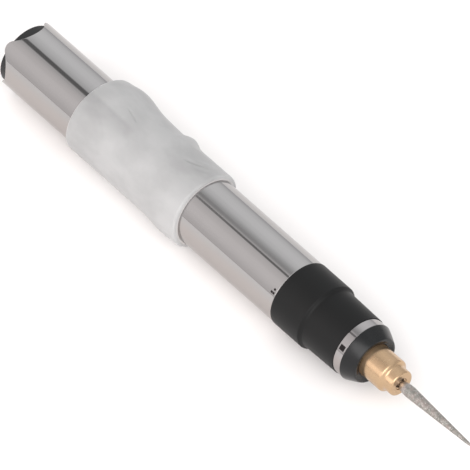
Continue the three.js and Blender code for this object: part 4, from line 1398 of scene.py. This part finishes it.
class PEN_OT_inner_works(bpy.types.Operator):
    """Finish the pieces inside the pen, whose shapes stay as they are"""

    bl_idname = "engraving_pen.inner_works"
    bl_label = "Inner Works"

    def execute(self, context):
        for make, rows in INNER_FINISHES.items():
            for name, tint, roughness, *nodes in rows:
                cover(make(name, tint, roughness=roughness), *nodes)
        bronze = porous_solid("sintered_bronze", SINTERED_BRONZE, roughness=0.45, metallic=1.0, pore=0.00015)
        cover(bronze, "front_bush", "rear_bush")
        carbon = porous_solid("brush_carbon", CARBON, roughness=0.5, metallic=0.3, pore=0.0001)
        cover(carbon, "brush_left", "brush_right")
        rubber = moulded_plastic("wrap_rubber", RUBBER, roughness=0.8, specular=0.2, grain=0.0004)
        cover(rubber, "motor_wrap")
        cover(stacked_sheets("rotor_sheets", SHEET_STEEL), "rotor_core")
        brass = context.scene.engraving_pen.colours.brass
        cover(turned_metal("hub_brass", brass, roughness=0.3), "chuck_body")
        for coil in range(COILS):
            copper = wound_copper(f"coil_{coil + 1}", COIL_COPPER, FULL_TURN * coil / COILS)
            cover(copper, f"rotor_coil_{coil + 1}")
        return {"FINISHED"}


# The light tent's slots, by how far a direction leans from straight up towards +Y
TAIL_GAP = Slot(0.0, 6.6, 2.4)
FRONT_GAP = Slot(-11.6, 3.2, 1.2)
LAMP = Slot(-66.0, 15.0, 4.0)
FAR_SHADE = Slot(62.0, 24.0, 10.0)
TOP_GLOW = Slot(0.0, 14.0, 8.0)

# Its cloth, by how far a direction leans from straight up to either side, in radians
ROOF = Ramp(0.05, 0.55, 0.66, 0.88)
WALL = Ramp(0.5, 0.75, 0.0, 0.08)
FOOT = Ramp(0.9, 1.55, 0.0, 0.17)

# Its shade low on one side and its warm other side, by how far a direction leans towards +Y, in radians
LOW_SHADE = Ramp(1.3, 1.5)
WARM_SIDE = Ramp(-0.5, 0.3, *FALLING)

# Its parts along the pen, from -1 straight behind the tail to 1 straight ahead of the burr
FRONT_PART = Ramp(-0.5055, -0.5005)
FOREMOST = Ramp(-0.476, -0.468)
FAR_AHEAD = Ramp(-0.38, -0.05)
NOT_FAR_AHEAD = Ramp(-0.3, -0.05, *FALLING)
FAR_BEHIND = Ramp(-0.8, -0.6, *FALLING)

# How dark the tent's gaps and shades are, how light its glow is, and its two tints
GAP_DEPTH = 0.74
GAP_FILL = 0.64
THIN_DEPTH = 0.96
FAINT_DEPTH = 0.38
FAR_DARK = 0.28
LOW_DARK = 0.17
TOP_LIGHT = 0.6
COOL_LIGHT = (1.0, 1.0, 1.01)
WARM_LIGHT = (1.0, 0.955, 0.95)

# What the key light and the camera need beside their settings
KEY_PLACE = (1.5, -0.9, 1.55)
KEY_WIDTH = 2.4
KEY_HEIGHT = 1.8
SENSOR_WIDTH = 36.0
NEAR_LIMIT = 0.05
FAR_LIMIT = 20.0


def build_floor(half):
    """The pale paper that the pen lies on."""
    corners = [(-half, -half, 0), (half, -half, 0), (half, half, 0), (-half, half, 0)]
    floor = made("studio_floor", corners, [(0, 1, 2, 3)])
    cloud_size = 0.05
    paper = Finish("pale_paper", {"Specular IOR Level": 0.1})
    cloud = paper.grain(cloud_size)
    paper.paint(paper.mix(cloud, (0.93, 0.918, 0.908), (0.95, 0.938, 0.928)))
    paper.roughen(0.85 + cloud * 0.1)
    floor.data.materials.append(paper.material)


def build_sky(scene, studio):
    """A light tent, darker overhead, with a dark gap that shows as a line along the tube.

    The gap is one slot over the pen's tail and parts into two thin ones over its front.
    """
    world = bpy.data.worlds.new("light_tent")
    scene.world = world
    tent = Finish("light_tent", {}, material=world)
    direction = tent.add("ShaderNodeTexCoord", output="Generated")
    ahead, side, up = (tent.add("ShaderNodeSeparateXYZ", {}, {0: direction}, axis) for axis in "XYZ")
    lean = tent.maths("ARCTAN2", side, up)
    foremost = ahead.between(*FOREMOST)
    nut_part = foremost * ahead.between(*NOT_FAR_AHEAD)
    steep = abs(lean)
    cloth = steep.between(*ROOF) + steep.between(*WALL) - steep.between(*FOOT)
    open_gaps = 1.0 - build_gaps(lean, ahead.between(*FRONT_PART)) * (GAP_DEPTH - foremost * GAP_FILL)
    shade = lean.within(FAR_SHADE) * foremost * FAR_DARK + lean.between(*LOW_SHADE) * LOW_DARK
    shade = shade - lean.within(TOP_GLOW) * nut_part * TOP_LIGHT
    ends = ahead.between(*FAR_AHEAD) + ahead.between(*FAR_BEHIND)
    ends_light = 1.0 + ends * lean.turning(-30, 20, *FALLING) * studio.front_sky
    lamp = lean.within(LAMP) * nut_part * studio.lamp
    level = cloth * open_gaps * (1.0 - shade) * ends_light * studio.sky + lamp
    tint = tent.mix(lean.between(*WARM_SIDE), COOL_LIGHT, WARM_LIGHT)
    back = tent.tree.nodes["Background"]
    tent.tree.links.new(tint.socket, back.inputs["Color"])
    tent.tree.links.new(level.socket, back.inputs["Strength"])


def build_gaps(lean, front_part):
    """Where the tent is open: one wide gap over the tail, a thin and a faint one over the front."""
    faint = lean.turning(-6, 0) * lean.turning(1, 29, *FALLING)
    front_gaps = lean.within(FRONT_GAP) * THIN_DEPTH + faint * FAINT_DEPTH
    return lean.within(TAIL_GAP) * (1.0 - front_part) + front_gaps * front_part


def build_key(scene, studio):
    """A large soft light over the pen."""
    light = bpy.data.lights.new("key_light", "AREA")
    light.shape = "RECTANGLE"
    light.size = KEY_WIDTH
    light.size_y = KEY_HEIGHT
    light.energy = studio.key
    key = bpy.data.objects.new("key_light", light)
    scene.collection.objects.link(key)
    key.location = KEY_PLACE
    key.rotation_euler = Vector(KEY_PLACE).to_track_quat("Z", "Y").to_euler()


def build_camera(scene, studio):
    """The camera, aimed at the pen's axis."""
    lens = bpy.data.cameras.new("camera")
    lens.lens = studio.lens
    lens.sensor_width = SENSOR_WIDTH
    lens.clip_start = NEAR_LIMIT
    lens.clip_end = FAR_LIMIT
    camera = bpy.data.objects.new("camera", lens)
    scene.collection.objects.link(camera)
    level = Vector((math.sin(studio.azimuth), -math.cos(studio.azimuth), 0))
    back = level * math.cos(studio.elevation) + Vector((0, 0, math.sin(studio.elevation)))
    side = back.cross(Vector(ALONG_PEN)).normalized()
    target = Vector((PEN_START + studio.aim, 0, AXIS_HEIGHT)) + side * studio.aim_side
    camera.location = target + back * studio.distance
    camera.rotation_mode = "QUATERNION"
    camera.rotation_quaternion = back.to_track_quat("Z", "Y")
    scene.camera = camera


class PEN_OT_studio(bpy.types.Operator):
    """Set out the pale floor, the soft light and the camera"""

    bl_idname = "engraving_pen.studio"
    bl_label = "Studio"

    def execute(self, context):
        studio = context.scene.engraving_pen.studio
        context.scene.view_settings.view_transform = "Standard"
        build_floor(studio.floor)
        build_sky(context.scene, studio)
        build_key(context.scene, studio)
        build_camera(context.scene, studio)
        return {"FINISHED"}


# The add-on

PIECE_OPERATORS = (
    PEN_OT_body_tube,
    PEN_OT_grip_sleeve,
    PEN_OT_tail_plug,
    PEN_OT_nose,
    PEN_OT_index_marks,
    PEN_OT_chuck,
    PEN_OT_burr,
    PEN_OT_inner_works,
    PEN_OT_studio,
)
GROUPS = (
    TubeSizes,
    SleeveSizes,
    PlugSizes,
    NoseSizes,
    ChuckSizes,
    BurrSizes,
    FinishColours,
    StudioSettings,
    PenSettings,
)


class PEN_PT_pieces(bpy.types.Panel):
    """Lists the pen's operators in the sidebar"""

    bl_idname = "PEN_PT_pieces"
    bl_label = "Engraving Pen"
    bl_space_type = "VIEW_3D"
    bl_region_type = "UI"
    bl_category = "Engraving Pen"

    def draw(self, context):
        for operator in PIECE_OPERATORS:
            self.layout.operator(operator.bl_idname)


CLASSES = (*GROUPS, *PIECE_OPERATORS, PEN_PT_pieces)


def register():
    """Registers the add-on's classes and its settings."""
    for one in CLASSES:
        bpy.utils.register_class(one)
    bpy.types.Scene.engraving_pen = bpy.props.PointerProperty(type=PenSettings)


def unregister():
    """Takes the settings and the classes away again."""
    del bpy.types.Scene.engraving_pen
    for one in reversed(CLASSES):
        bpy.utils.unregister_class(one)


def main():
    """Builds the whole pen in order."""
    register()
    for operator in PIECE_OPERATORS:
        family, name = operator.bl_idname.split(".")
        getattr(getattr(bpy.ops, family), name)()


if __name__ == "__main__":
    main()
